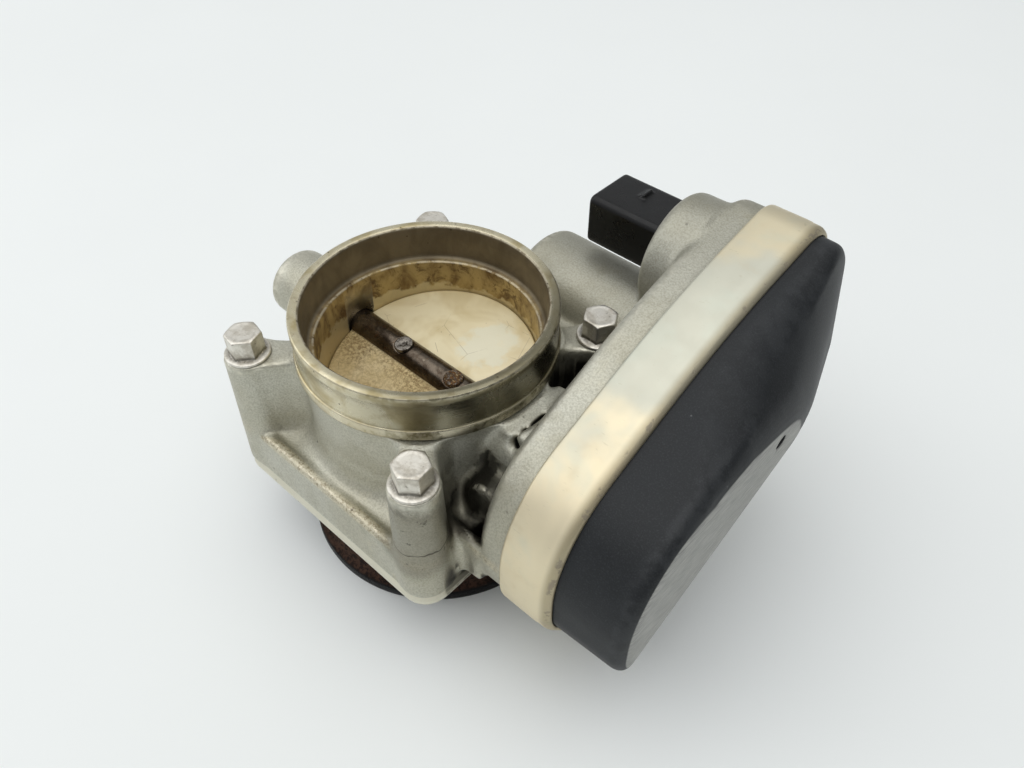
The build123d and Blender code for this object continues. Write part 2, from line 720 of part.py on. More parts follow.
# ---------------------------------------------------------------- connector
def connector_shell():
    (x0, x1), (y0, y1), (z0, z1) = CONN_X, CONN_Y, CONN_Z
    body = block(x0, 38.0, y0, y1, z0, z1)
    body = fillet(body.edges().filter_by(Axis.X), 2.4)
    body = chamfer(body.faces().sort_by(Axis.X)[0].edges(), 0.6)
    neck = block(36.0, x1, y0 + 1.6, y1 - 1.6, z0 + 1.6, z1 - 1.6)
    body += neck
    ramp = Plane.XZ * make_face(Polyline((19.0, z1 - 1), (23.5, z1 - 1), (23.5, z1 + 1.8), close=True))
    body += Pos(0, 76.5, 0) * extrude(ramp, 2.5, both=True)
    body -= block(x0 - 1, 31.0, y0 + 2.2, y1 - 2.2, z0 + 2.2, z1 - 2.2)
    for y, z in pin_points():
        body -= block(30.0, x1 + 1, y - 0.8, y + 0.8, z - 0.4, z + 0.4)
    return body


def pin_points():
    middle_y = (CONN_Y[0] + CONN_Y[1]) / 2
    middle_z = (CONN_Z[0] + CONN_Z[1]) / 2
    return [(middle_y + 4.2 * k, middle_z + 2.6 * s) for s in (-1, 1) for k in (-1, 0, 1)]


def connector_pins():
    blades = []
    for y, z in pin_points():
        blades.append(block(17.0, 56.0, y - 0.8, y + 0.8, z - 0.4, z + 0.4))
    return group(blades)


# ---------------------------------------------------------------- build and export
def build():
    return {
        "housing": housing(),
        "manifold_sleeve": manifold_sleeve(),
        "manifold_gasket": manifold_gasket(),
        "flange_bolts": flange_bolts(),
        "throttle_shaft": throttle_shaft(),
        "throttle_plate": throttle_plate(),
        "plate_screws": plate_screws(),
        "bearing_left": shaft_bearing(-55.0, -45.8),
        "bearing_right": shaft_bearing(38.4, 44.4),
        "seal_left": shaft_seal(-45.7, -43.1),
        "seal_right": shaft_seal(35.6, 38.3),
        "shaft_end_cap": shaft_end_cap(),
        "return_spring": return_spring(),
        "spring_guide": spring_guide(),
        "sector_gear": sector_gear(),
        "sector_hub": sector_hub(),
        "wiper_carrier": wiper_carrier(),
        "wiper_contacts": wiper_contacts(),
        "position_sensor_board": position_sensor_board(),
        "intermediate_gear": intermediate_gear(),
        "idler_pin": idler_pin(),
        "idler_washer": idler_washer(),
        "stop_pins": stop_pins(),
        "motor_can": motor_can(),
        "motor_magnets": motor_magnets(),
        "armature": armature(),
        "commutator": commutator(),
        "motor_shaft": motor_shaft(),
        "motor_brushes": motor_brushes(),
        "brush_holder": brush_holder(),
        "motor_end_cap": motor_end_cap(),
        "motor_front_bush": motor_tube(3.6, 2.04, 60.0, 67.0),
        "motor_rear_bush": motor_tube(4.0, 2.04, -2.6, 1.2),
        "motor_pinion": motor_pinion(),
        "motor_screws": motor_screws(),
        "gear_cover": gear_cover(),
        "cover_seal": seal_ring(),
        "clamp_band": clamp_band(),
        "connector_shell": connector_shell(),
        "connector_pins": connector_pins(),
    }


if __name__ == "__main__":
    os.makedirs(PARTS, exist_ok=True)
    for name, solid in build().items():
        export_step(solid, f"{PARTS}/{name}.step")
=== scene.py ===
"""Looks of the throttle body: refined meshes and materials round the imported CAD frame."""
import json
import math

import bmesh
import bpy
import numpy as np
import openvdb
from mathutils import Matrix, Vector


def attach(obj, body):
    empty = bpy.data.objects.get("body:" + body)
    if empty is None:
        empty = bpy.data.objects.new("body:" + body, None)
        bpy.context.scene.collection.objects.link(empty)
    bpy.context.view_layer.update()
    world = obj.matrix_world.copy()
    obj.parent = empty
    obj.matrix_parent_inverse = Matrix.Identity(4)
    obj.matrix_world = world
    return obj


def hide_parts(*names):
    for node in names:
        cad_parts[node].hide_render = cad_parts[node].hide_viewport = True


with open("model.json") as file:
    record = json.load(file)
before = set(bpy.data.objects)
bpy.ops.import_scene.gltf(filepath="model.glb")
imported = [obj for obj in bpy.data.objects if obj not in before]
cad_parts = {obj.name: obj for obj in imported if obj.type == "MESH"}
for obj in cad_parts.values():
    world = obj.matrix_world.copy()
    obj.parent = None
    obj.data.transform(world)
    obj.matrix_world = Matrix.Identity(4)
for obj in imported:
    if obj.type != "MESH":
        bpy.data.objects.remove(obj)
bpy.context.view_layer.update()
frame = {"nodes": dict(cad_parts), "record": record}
NODES = frame["nodes"]
MM = 0.001

# ------------------------------------------------------------------ driving sizes (mm)
CASE_CORNERS = (
    ((-33.2, 47.9), 38.0),
    ((35.0, 76.9), 235.0),
    ((93.0, 88.5), 14.0),
    ((93.0, 18.8), 22.0),
    ((-17.5, -11.0), 15.0),
    ((-33.2, 11.1), 20.0),
)
BAND_X = (60.0, 78.0)
FACE_X = 101.0
BORE_R, INTAKE_R, BODY_R = 34.0, 36.45, 38.6
COLLAR_R, RECESS_R, SEAT_RING_R = 40.0, 39.7, 40.35
STEP_Z, COLLAR_TOP = 53.5, 65.8
SEAT_Z = 48.2
SQUARE = ((-1, -1), (1, -1), (1, 1), (-1, 1))
BOLTS = [(-0.8 + sx * 37.0, -0.8 + sy * 39.0) for sx, sy in SQUARE]
FRONT_POST = (37.0, -45.0, 30.0)
SHAFT_Z = 36.5
SHELF_Z, COVE_R = 18.6, 9.0
FLANGE_X, FLANGE_Y = (-43.4, 31.0), (-43.8, 41.0)
FLOOR_Z = -26.0
CASTING_FACES = 190000


# ------------------------------------------------------------------ distance fields
def blur(values, sigma):
    """Gaussian blur of a grid, sigma in cells."""
    reach = max(1, int(2.6 * sigma + 0.5))
    weights = np.exp(-0.5 * (np.arange(-reach, reach + 1) / sigma) ** 2)
    weights = (weights / weights.sum()).astype(np.float32)
    for axis in range(3):
        pads = [(reach, reach) if i == axis else (0, 0) for i in range(3)]
        padded = np.pad(values, pads, mode="edge")
        size = values.shape[axis]
        total = np.zeros_like(values)
        for k, w in enumerate(weights):
            cut = [slice(None)] * 3
            cut[axis] = slice(k, k + size)
            total += w * padded[tuple(cut)]
        values = total
    return values


def cut_round(a, b, r):
    """Where both shapes are, with the edge between them rounded by r."""
    corner = np.hypot(np.maximum(a + r, 0), np.maximum(b + r, 0))
    return np.minimum(np.maximum(a, b), -r) + corner


def join_round(a, b, r):
    """Where either shape is, with a fillet of r in the corner between them."""
    return -cut_round(-a, -b, r)


def blend_corners(table, base, part, wrap=False):
    """Mix of the table's values at the eight cell corners round each point."""
    total = 0
    for corner in range(8):
        step = np.array([corner >> 2 & 1, corner >> 1 & 1, corner & 1])
        weight = np.prod(np.where(step, part, 1 - part), axis=1)
        at = base + step
        i, j, k = (at % len(table) if wrap else at).T
        total = total + weight * table[i, j, k]
    return total


class Grid:
    """Cells of a box in millimetres, with distances in value, negative inside."""

    def __init__(self, low, shape, cell):
        self.low, self.cell = np.array(low, np.float32), cell
        axes = [
            (low[i] + cell * np.arange(shape[i])).astype(np.float32).reshape(
                [-1 if j == i else 1 for j in range(3)]
            )
            for i in range(3)
        ]
        self.x, self.y, self.z = axes
        self.value = None

    @classmethod
    def around(cls, low, high, cell):
        """Empty cells over the box from low to high."""
        shape = [int((h - l) / cell) + 2 for l, h in zip(low, high)]
        return cls(low, shape, cell)

    @classmethod
    def of_node(cls, node, cell, band):
        """Distances from a CAD node's surface, exact to band cells each way."""
        mesh = NODES[node].data
        points = np.empty(len(mesh.vertices) * 3, np.float32)
        mesh.vertices.foreach_get("co", points)
        mesh.calc_loop_triangles()
        corners = np.empty(len(mesh.loop_triangles) * 3, np.int32)
        mesh.loop_triangles.foreach_get("vertices", corners)
        source = openvdb.FloatGrid.createLevelSetFromPolygons(
            points.reshape(-1, 3) / MM,
            triangles=corners.reshape(-1, 3).astype(np.uint32),
            transform=openvdb.createLinearTransform(cell),
            halfWidth=float(band),
        )
        low, high = source.evalActiveVoxelBoundingBox()
        shape = [h - l + 1 for l, h in zip(low, high)]
        value = np.zeros(shape, np.float32)
        source.copyToArray(value, ijk=low)
        grid = cls([v * cell for v in low], shape, cell)
        grid.value = value
        return grid

    def mesh(self, name):
        """The surface where value is 0, as a mesh in metres."""
        sheet = openvdb.FloatGrid(float(self.value.max()))
        sheet.copyFromArray(self.value.astype(np.float32))
        points, quads = sheet.convertToQuads()
        a, b, c = (points[quads[:, i]] for i in range(3))
        if np.einsum("ij,ij->", a, np.cross(b, c)) < 0:
            quads = quads[:, ::-1]
        return mesh_of(name, (points * self.cell + self.low) * MM, quads)

    def sample(self, values, points):
        """Values at points in millimetres, between the cells' own."""
        at = (points - self.low) / self.cell
        base = np.clip(np.floor(at).astype(int), 0, np.array(values.shape) - 2)
        return blend_corners(values, base, np.clip(at - base, 0, 1))


def mesh_of(name, points, faces):
    """Mesh from arrays of points and of faces with the same number of corners."""
    faces = np.ascontiguousarray(faces, np.int32)
    count, sides = faces.shape
    mesh = bpy.data.meshes.new(name)
    mesh.vertices.add(len(points))
    mesh.vertices.foreach_set("co", np.ascontiguousarray(points, np.float32).ravel())
    mesh.loops.add(count * sides)
    mesh.loops.foreach_set("vertex_index", faces.ravel())
    mesh.polygons.add(count)
    mesh.polygons.foreach_set("loop_start", np.arange(count, dtype=np.int32) * sides)
    mesh.polygons.foreach_set("loop_total", np.full(count, sides, np.int32))
    mesh.polygons.foreach_set("use_smooth", np.ones(count, bool))
    mesh.update(calc_edges=True)
    mesh.validate()
    return mesh


def points_of(mesh):
    """The mesh's points in millimetres."""
    points = np.empty(len(mesh.vertices) * 3, np.float32)
    mesh.vertices.foreach_get("co", points)
    return points.reshape(-1, 3) / MM


def paint(mesh, name, values):
    """Store one number per point, for the materials."""
    layer = mesh.attributes.new(name, "FLOAT", "POINT")
    layer.data.foreach_set("value", np.ascontiguousarray(values, np.float32))


def piece(name, mesh, body, slot, material, *stands_for):
    """Visible object that moves with a body and may stand in for CAD nodes."""
    obj = bpy.data.objects.new(name, mesh)
    bpy.context.scene.collection.objects.link(obj)
    mesh.materials.append(material)
    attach(obj, body)
    if stands_for:
        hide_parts(*stands_for)
    return obj


def thin_out(obj, faces):
    """Collapse a dense mesh to about that many triangles."""
    have = len(obj.data.polygons) * 2
    if have <= faces:
        return
    collapse = obj.modifiers.new("thin", "DECIMATE")
    collapse.ratio = faces / have
    graph = bpy.context.evaluated_depsgraph_get()
    made = bpy.data.meshes.new_from_object(obj.evaluated_get(graph))
    obj.modifiers.clear()
    made.name = obj.data.name + "_thin"
    obj.data = made


def lattice_noise(points, size, seed):
    """Smooth noise from -1 to 1 at points, with features about size across."""
    rng = np.random.default_rng(seed)
    table = rng.uniform(-1, 1, (32, 32, 32))
    at = points / size
    base = np.floor(at).astype(int)
    part = at - base
    return blend_corners(table, base, part * part * (3 - 2 * part), wrap=True)


def ramp01(values, start, end):
    """0 before start, 1 after end, smooth between."""
    t = np.clip((values - start) / (end - start), 0, 1)
    return t * t * (3 - 2 * t)


def sky(grid, points, normals, reach=36.0, steps=11, count=22):
    """Share of the upper sky each point sees past the grid's solid."""
    rng = np.random.default_rng(5)
    lowest, span, golden_angle = 0.12, 0.86, 2.39996
    height = lowest + span * (np.arange(count) + 0.5) / count
    angle = np.arange(count) * golden_angle + rng.uniform(0, 0.2, count)
    flat = np.sqrt(1 - height * height)
    directions = np.column_stack([flat * np.cos(angle), flat * np.sin(angle), height])
    limits = np.array(grid.value.shape)
    seen = np.zeros(len(points), np.float32)
    total = np.full(len(points), 1e-6, np.float32)
    start = points + normals * 1.3
    for direction in directions:
        weight = np.maximum(normals @ direction, 0)
        facing = np.flatnonzero(weight > 0.03)
        free = np.ones(len(facing), bool)
        for step in np.linspace(1.2, reach ** 0.5, steps) ** 2:
            at = (start[facing] + direction * step - grid.low) / grid.cell
            at = np.rint(at).astype(np.int32)
            inside = ((at >= 0) & (at < limits)).all(1)
            at = np.clip(at, 0, limits - 1)
            free &= ~inside | (grid.value[at[:, 0], at[:, 1], at[:, 2]] > -0.1)
        seen[facing] += weight[facing] * free
        total[facing] += weight[facing]
    return seen / total


def normals_of(mesh):
    """Unit normals at the mesh's points."""
    normals = np.empty(len(mesh.vertices) * 3, np.float32)
    mesh.vertex_normals.foreach_get("vector", normals)
    return normals.reshape(-1, 3)


# ------------------------------------------------------------------ case outline
def case_outline(inset, arc_steps=14):
    """Points (y, z) round the gear case outline, moved inwards by inset."""
    corners = [np.array(p) for p, _ in CASE_CORNERS]
    points = []
    for i, (_, radius) in enumerate(CASE_CORNERS):
        here = corners[i]
        to_last = corners[i - 1] - here
        to_next = corners[(i + 1) % len(corners)] - here
        to_last /= np.linalg.norm(to_last)
        to_next /= np.linalg.norm(to_next)
        half = math.acos(float(to_last @ to_next)) / 2
        middle = to_last + to_next
        centre = here + middle / np.linalg.norm(middle) * radius / math.sin(half)
        start = here + to_last * radius / math.tan(half) - centre
        end = here + to_next * radius / math.tan(half) - centre
        first = math.atan2(start[1], start[0])
        turn = (math.atan2(end[1], end[0]) - first + math.pi) % (2 * math.pi) - math.pi
        for k in range(arc_steps + 1):
            angle = first + turn * k / arc_steps
            points.append(centre + (radius - inset) * np.array([math.cos(angle), math.sin(angle)]))
    return np.array(points)


def case_distance(y, z):
    """Signed distance from the outline on a plane grid, negative inside."""
    outline = case_outline(0.0, 40)
    a, b = outline, np.roll(outline, -1, 0)
    shape = np.broadcast_shapes(y.shape, z.shape)
    py = np.broadcast_to(y, shape).ravel()
    pz = np.broadcast_to(z, shape).ravel()
    best = np.full(py.shape, 1e9)
    inside = np.zeros(py.shape, bool)
    for (ay, az), (by, bz) in zip(a, b):
        dy, dz = by - ay, bz - az
        length = dy * dy + dz * dz
        if length < 1e-9:
            continue
        t = np.clip(((py - ay) * dy + (pz - az) * dz) / length, 0, 1)
        best = np.minimum(best, np.hypot(py - ay - t * dy, pz - az - t * dz))
        if dz != 0:
            crosses = (az > pz) != (bz > pz)
            inside ^= crosses & (py < dy * (pz - az) / dz + ay)
    return np.where(inside, -best, best).reshape(shape).astype(np.float32)


def ring_faces(rings, size):
    """Four-sided faces joining each ring of points to the next, and the last to the first."""
    faces = []
    for i in range(rings):
        j = (i + 1) % rings
        for k in range(size):
            m = (k + 1) % size
            faces.append((i * size + k, i * size + m, j * size + m, j * size + k))
    return np.array(faces)


def swept_rings(name, section):
    """Mesh of a closed section of (x, inset) points carried round the case outline."""
    rings = []
    for x, inset in section:
        ring = case_outline(inset)
        rings.append(np.column_stack([np.full(len(ring), x), ring]))
    points = np.concatenate(rings) * MM
    return outward(mesh_of(name, points, ring_faces(len(rings), len(rings[0]))))


def outward(mesh):
    """Turn all faces outwards and join points that coincide."""
    shape = bmesh.new()
    shape.from_mesh(mesh)
    bmesh.ops.remove_doubles(shape, verts=shape.verts, dist=1e-7)
    bmesh.ops.recalc_face_normals(shape, faces=shape.faces)
    shape.to_mesh(mesh)
    shape.free()
    return mesh


def lathe(name, profile, steps=192, axis="z", centre=(0, 0, 0)):
    """Closed profile of (radius, height) in millimetres turned about an axis."""
    angles = np.arange(steps) * 2 * math.pi / steps
    r = np.array([p[0] for p in profile])[:, None]
    h = np.array([p[1] for p in profile])[:, None] + 0 * angles
    a, b = r * np.cos(angles), r * np.sin(angles)
    order = (a, b, h) if axis == "z" else (h, a, b)
    points = np.stack(order, -1).reshape(-1, 3) + np.array(centre)
    return outward(mesh_of(name, points * MM, ring_faces(len(profile), steps)))


# ------------------------------------------------------------------ materials
def srgb(r, g, b):
    """Linear colour from 0..255 display values."""
    out = []
    for v in (r, g, b):
        v /= 255
        out.append(v / 12.92 if v <= 0.04045 else ((v + 0.055) / 1.055) ** 2.4)
    return (*out, 1.0)


class Paint:
    """Builds one material's nodes; coordinates are the part's own, in millimetres."""

    def __init__(self, name, **shader):
        self.material = bpy.data.materials.new(name)
        self.material.use_nodes = True
        self.tree = self.material.node_tree
        self.tree.nodes.clear()
        self.shader = self.tree.nodes.new("ShaderNodeBsdfPrincipled")
        output = self.tree.nodes.new("ShaderNodeOutputMaterial")
        self.tree.links.new(self.shader.outputs["BSDF"], output.inputs["Surface"])
        coords = self.tree.nodes.new("ShaderNodeTexCoord")
        scale = self.tree.nodes.new("ShaderNodeMapping")
        scale.inputs["Scale"].default_value = (1 / MM,) * 3
        self.tree.links.new(coords.outputs["Object"], scale.inputs["Vector"])
        self.place = scale.outputs["Vector"]
        for key, value in shader.items():
            self.shader.inputs[key.replace("_", " ")].default_value = value
        self.height = None

    def node(self, kind, **inputs):
        """New node with its named inputs set or linked."""
        made = self.tree.nodes.new(kind)
        for key, value in inputs.items():
            self.feed(made.inputs[key], value)
        return made

    def feed(self, socket, value):
        if isinstance(value, bpy.types.NodeSocket):
            self.tree.links.new(value, socket)
        else:
            socket.default_value = value

    def stretched(self, x, y, z, turn=(0, 0, 0)):
        """Coordinates scaled along each axis, for streaks and fine lines."""
        made = self.node("ShaderNodeMapping", Vector=self.place, Scale=(x, y, z), Rotation=turn)
        return made.outputs["Vector"]

    def noise(self, size, detail=3.0, roughness=0.55, distortion=0.0, place=None):
        """Noise with features about size millimetres across."""
        made = self.node(
            "ShaderNodeTexNoise", Vector=place or self.place, Scale=1 / size, Detail=detail,
            Roughness=roughness, Distortion=distortion,
        )
        return made.outputs["Fac"]

    def cells(self, size, randomness=1.0, place=None, feature="F1"):
        made = self.tree.nodes.new("ShaderNodeTexVoronoi")
        made.feature = feature
        self.feed(made.inputs["Vector"], place or self.place)
        made.inputs["Scale"].default_value = 1 / size
        made.inputs["Randomness"].default_value = randomness
        return made.outputs["Distance"]

    def math(self, operation, a, b=0.0, clamp=False):
        made = self.tree.nodes.new("ShaderNodeMath")
        made.operation, made.use_clamp = operation, clamp
        self.feed(made.inputs[0], a)
        self.feed(made.inputs[1], b)
        return made.outputs[0]

    def band(self, value, low, high, to_low=0.0, to_high=1.0):
        """Value from low..high onto to_low..to_high, held at the ends."""
        made = self.tree.nodes.new("ShaderNodeMapRange")
        made.interpolation_type = "SMOOTHSTEP"
        made.clamp = True
        for socket, v in zip(made.inputs, (value, low, high, to_low, to_high)):
            self.feed(socket, v)
        return made.outputs["Result"]

    def axis(self, name):
        made = self.node("ShaderNodeSeparateXYZ", Vector=self.place)
        return made.outputs[name]

    def layer(self, name):
        """A number stored on the mesh by paint()."""
        made = self.tree.nodes.new("ShaderNodeAttribute")
        made.attribute_name = name
        return made.outputs["Fac"]

    def mix(self, amount, a, b, mode="MIX"):
        made = self.tree.nodes.new("ShaderNodeMix")
        made.data_type, made.blend_type = "RGBA", mode
        self.feed(made.inputs[0], amount)
        self.feed(made.inputs[6], a)
        self.feed(made.inputs[7], b)
        return made.outputs[2]

    def distance(self, point):
        """Distance from a point given in millimetres."""
        made = self.tree.nodes.new("ShaderNodeVectorMath")
        made.operation = "DISTANCE"
        self.feed(made.inputs[0], self.place)
        self.feed(made.inputs[1], point)
        return made.outputs["Value"]

    def specks(self, spacing, core, rim, patch, start, end):
        """Dots with a core and a rim radius, only within patches of a wider noise."""
        dots = self.band(self.cells(spacing), core, rim, 1, 0)
        return self.times(dots, self.band(patch, start, end))

    def times(self, a, b):
        return self.math("MULTIPLY", a, b)

    def most(self, a, b):
        return self.math("MAXIMUM", a, b)

    def bump(self, height, depth):
        """Add a surface relief, depth in millimetres."""
        part = self.times(height, depth)
        self.height = part if self.height is None else self.math("ADD", self.height, part)

    def done(self, colour=None, roughness=None, metallic=None):
        for name, value in (("Base Color", colour), ("Roughness", roughness), ("Metallic", metallic)):
            if value is not None:
                self.feed(self.shader.inputs[name], value)
        if self.height is not None:
            relief = self.node("ShaderNodeBump", Height=self.height, Distance=MM)
            relief.inputs["Strength"].default_value = 1.0
            self.tree.links.new(relief.outputs["Normal"], self.shader.inputs["Normal"])
        return self.material


def cast_aluminium():
    """Matt casting: uneven grey skin, painted shade in its hollows, pale worn edges, scuffed front
    post under painted shade.
    """
    p = Paint("cast_aluminium", Metallic=0.75)
    wide = p.noise(34, 3, 0.6)
    patches = p.noise(11, 4, 0.6, 0.4)
    grain = p.noise(0.55, 3, 0.6)
    coarse = p.noise(1.6, 3, 0.65)
    colour = p.mix(p.band(wide, 0.35, 0.65), srgb(198, 197, 184), srgb(187, 184, 167))
    colour = p.mix(p.band(patches, 0.54, 0.8, 0, 0.4), colour, srgb(156, 149, 126))
    tan = p.band(p.noise(19, 5, 0.65, 1.2), 0.58, 0.74, 0, 0.3)
    colour = p.mix(tan, colour, srgb(206, 198, 168))
    colour = p.mix(p.band(grain, 0.38, 0.66, 0.0, 0.42), colour, srgb(134, 130, 114))
    recess_shade = p.layer("recess_shade")
    lip = p.band(p.axis("Z"), 3.7, 3.4)
    colour = p.mix(p.times(lip, 0.8), colour, srgb(222, 218, 200))
    colour = p.mix(p.band(p.axis("Y"), 0.0, 60.0, 0, 0.4), colour, srgb(124, 122, 110))
    # painted shade: darker, then near black, where a point sees little of the sky
    colour = p.mix(p.band(recess_shade, 0.25, 0.62, 0, 0.55), colour, srgb(112, 106, 88))
    colour = p.mix(p.band(recess_shade, 0.5, 0.85, 0, 0.93), colour, srgb(26, 24, 19))
    worn = p.times(p.band(p.layer("edge"), 0.6, 1.0), p.band(p.noise(2.2, 4, 0.7), 0.42, 0.6))
    colour = p.mix(p.times(worn, 0.6), colour, srgb(222, 218, 202))
    flash = p.times(p.layer("ridge"), p.band(p.noise(1.1, 4, 0.8), 0.5, 0.56))
    colour = p.mix(p.times(p.layer("ridge"), 0.5), colour, srgb(214, 204, 176))
    colour = p.mix(p.times(flash, 0.6), colour, srgb(126, 112, 86))
    near_post = p.band(p.distance(FRONT_POST), 13.0, 19.0, 1, 0)
    scuff = p.times(near_post, p.band(p.noise(2.3, 3, 0.6, 0.8), 0.65, 0.7))
    smear = p.times(near_post, p.band(p.axis("Z"), 38.0, 47.0))
    smear = p.times(smear, p.band(p.noise(3.2, 5, 0.7), 0.4, 0.6))
    # painted shade: the front post and the flange round it painted darker, as on its shaded front
    colour = p.mix(p.times(near_post, 0.5), colour, srgb(108, 103, 88))
    colour = p.mix(p.times(p.most(scuff, smear), 0.7), colour, srgb(78, 73, 62))
    seam = p.math("ADD", p.axis("Z"), p.band(p.noise(9, 2, 0.5), 0.2, 0.8, -1.6, 1.6))
    seam = p.math("ABSOLUTE", p.math("SUBTRACT", seam, 26.0))
    seam = p.times(near_post, p.band(seam, 0.10, 0.28, 1, 0))
    colour = p.mix(p.times(seam, 0.8), colour, srgb(74, 68, 58))
    p.bump(seam, -0.15)
    specks = p.specks(5.5, 0.05, 0.12, p.noise(9), 0.5, 0.62)
    colour = p.mix(p.times(specks, 0.7), colour, srgb(60, 54, 44))
    p.bump(grain, 0.11)
    p.bump(coarse, 0.07)
    p.bump(specks, -0.1)
    rough = p.band(patches, 0.3, 0.7, 0.42, 0.52)
    return p.done(colour, p.math("SUBTRACT", rough, p.times(worn, 0.16)))


def turned_aluminium():
    """Machined bore and collar: fine turning lines, tan varnish, brown dirt inside, painted shade on
    the collar's side towards the case.
    """
    p = Paint("turned_aluminium", Metallic=0.9)
    z = p.axis("Z")
    rings = p.noise(1, 2, 0.5, place=p.stretched(0.02, 0.02, 2.6))
    fine = p.noise(1, 2, 0.6, place=p.stretched(0.05, 0.05, 9.0))
    stain = p.noise(13, 4, 0.6, 0.5)
    streak = p.noise(1, 4, 0.6, 0.5, place=p.stretched(0.12, 0.12, 0.07))
    base = p.mix(p.band(stain, 0.4, 0.66), srgb(214, 206, 178), srgb(182, 168, 128))
    base = p.mix(p.band(p.noise(6, 4, 0.65), 0.52, 0.7, 0, 0.5), base, srgb(150, 134, 96))
    inside = p.layer("inside")
    upper = p.mix(p.band(streak, 0.35, 0.7), srgb(120, 108, 85), srgb(102, 91, 70))
    lower = p.mix(p.band(streak, 0.4, 0.66), srgb(180, 156, 102), srgb(108, 83, 46))
    baked = p.band(p.noise(4.5, 5, 0.7, 0.8), 0.5, 0.66, 0, 0.8)
    lower = p.mix(baked, lower, srgb(88, 66, 38))
    pale = p.math("ADD", z, p.band(p.noise(5, 3, 0.6), 0.3, 0.7, -1.4, 1.4))
    lower = p.mix(p.band(pale, 43.2, 44.6, 0.85, 0), lower, srgb(206, 190, 146))
    dirty = p.mix(p.band(z, 53.2, 53.9), lower, upper)
    # painted shade: the collar darker towards the gear case beside it
    base = p.mix(p.band(p.axis("X"), 2.0, 34.0, 0, 0.76), base, srgb(80, 76, 58))
    colour = p.mix(inside, base, dirty)
    worn = p.times(p.band(p.layer("edge"), 0.25, 0.7), p.band(p.noise(3, 4, 0.7), 0.38, 0.55))
    colour = p.mix(p.times(worn, 0.45), colour, srgb(222, 214, 190))
    specks = p.specks(2.6, 0.06, 0.16, p.noise(7, 3, 0.6), 0.56, 0.64)
    colour = p.mix(p.times(specks, 0.8), colour, srgb(62, 52, 36))
    p.bump(rings, 0.05)
    p.bump(fine, 0.02)
    p.bump(specks, -0.06)
    rough = p.mix(inside, (0.27, 0.27, 0.27, 1), (0.42, 0.42, 0.42, 1))
    rough = p.math("ADD", rough, p.band(stain, 0.3, 0.7, -0.04, 0.10))
    metal = p.band(inside, 0, 1, 0.92, 0.55)
    return p.done(colour, rough, metal)


def band_steel():
    """Passivated steel strip: pale gold ends, greener middle, tan rolled lip, fine scratches."""
    p = Paint("band_steel", Metallic=0.8)
    wide = p.noise(30, 3, 0.6)
    tint = p.noise(17, 3, 0.6, 0.5)
    along = p.math("ADD", p.axis("Y"), p.band(wide, 0.3, 0.7, -14, 14))
    colour = p.mix(p.band(along, 52.0, 74.0), srgb(198, 197, 182), srgb(214, 204, 176))
    colour = p.mix(p.band(along, 14.0, -12.0), colour, srgb(228, 216, 186))
    colour = p.mix(p.band(tint, 0.5, 0.74, 0, 0.32), colour, srgb(196, 203, 190))
    colour = p.mix(p.band(p.noise(9, 3, 0.55), 0.58, 0.8, 0, 0.25), colour, srgb(200, 180, 144))
    colour = p.mix(p.band(p.axis("X"), 74.0, 76.6, 0, 0.62), colour, srgb(146, 134, 104))
    scratch = p.noise(1, 3, 0.5, place=p.stretched(0.35, 0.07, 3.2, (0.45, 0, 0)))
    scratch = p.band(scratch, 0.66, 0.74)
    colour = p.mix(p.times(scratch, 0.25), colour, srgb(168, 160, 132))
    chips = p.specks(9.0, 0.01, 0.04, p.noise(16), 0.5, 0.6)
    worn = p.times(p.band(p.layer("edge"), 0.3, 0.8), p.band(p.noise(5, 5, 0.7), 0.56, 0.62))
    mark = p.most(chips, worn)
    colour = p.mix(p.times(mark, 0.6), colour, srgb(150, 142, 130))
    p.bump(p.noise(1.3, 3, 0.6), 0.004)
    p.bump(p.noise(30, 2), 0.06)
    p.bump(scratch, -0.01)
    p.bump(mark, -0.03)
    rough = p.math("ADD", p.band(p.noise(9, 4, 0.6), 0.3, 0.7, 0.42, 0.52), p.times(mark, 0.2))
    return p.done(colour, rough)


def cover_plastic():
    """Fine-grained black moulding with a painted grey sheen on its flat end face."""
    p = Paint("cover_plastic")
    p.shader.inputs["Specular IOR Level"].default_value = 0.34
    grain = p.noise(0.42, 2, 0.6)
    cloud = p.noise(24, 4, 0.6)
    colour = p.mix(p.band(cloud, 0.35, 0.7), srgb(18, 21, 24), srgb(26, 29, 32))
    colour = p.mix(p.band(grain, 0.45, 0.75, 0, 0.35), colour, srgb(52, 55, 58))
    face = p.band(p.layer("face"), 0.5, 0.9)
    lines = p.noise(1, 3, 0.6, 0.2, place=p.stretched(1, 0.16, 2.6, (0.72, 0, 0)))
    # painted sheen: the end face painted light grey, with fine streaks, as grazing light on it
    painted_face_sheen = p.mix(p.band(lines, 0.35, 0.65), srgb(152, 152, 148), srgb(184, 184, 178))
    colour = p.mix(p.times(face, 0.9), colour, painted_face_sheen)
    rub = p.times(p.band(p.layer("edge"), 0.12, 0.6), p.band(p.noise(6, 4, 0.7), 0.4, 0.6))
    colour = p.mix(p.times(rub, 0.15), colour, srgb(80, 82, 84))
    dust = p.specks(8, 0.02, 0.05, p.noise(14), 0.5, 0.6)
    colour = p.mix(p.times(dust, 0.7), colour, srgb(150, 152, 152))
    p.bump(grain, 0.035)
    p.bump(p.noise(30, 2), 0.3)
    p.bump(p.times(lines, face), 0.03)
    rough = p.band(cloud, 0.3, 0.7, 0.46, 0.54)
    rough = p.math("ADD", rough, p.times(face, 0.06))
    return p.done(colour, rough)


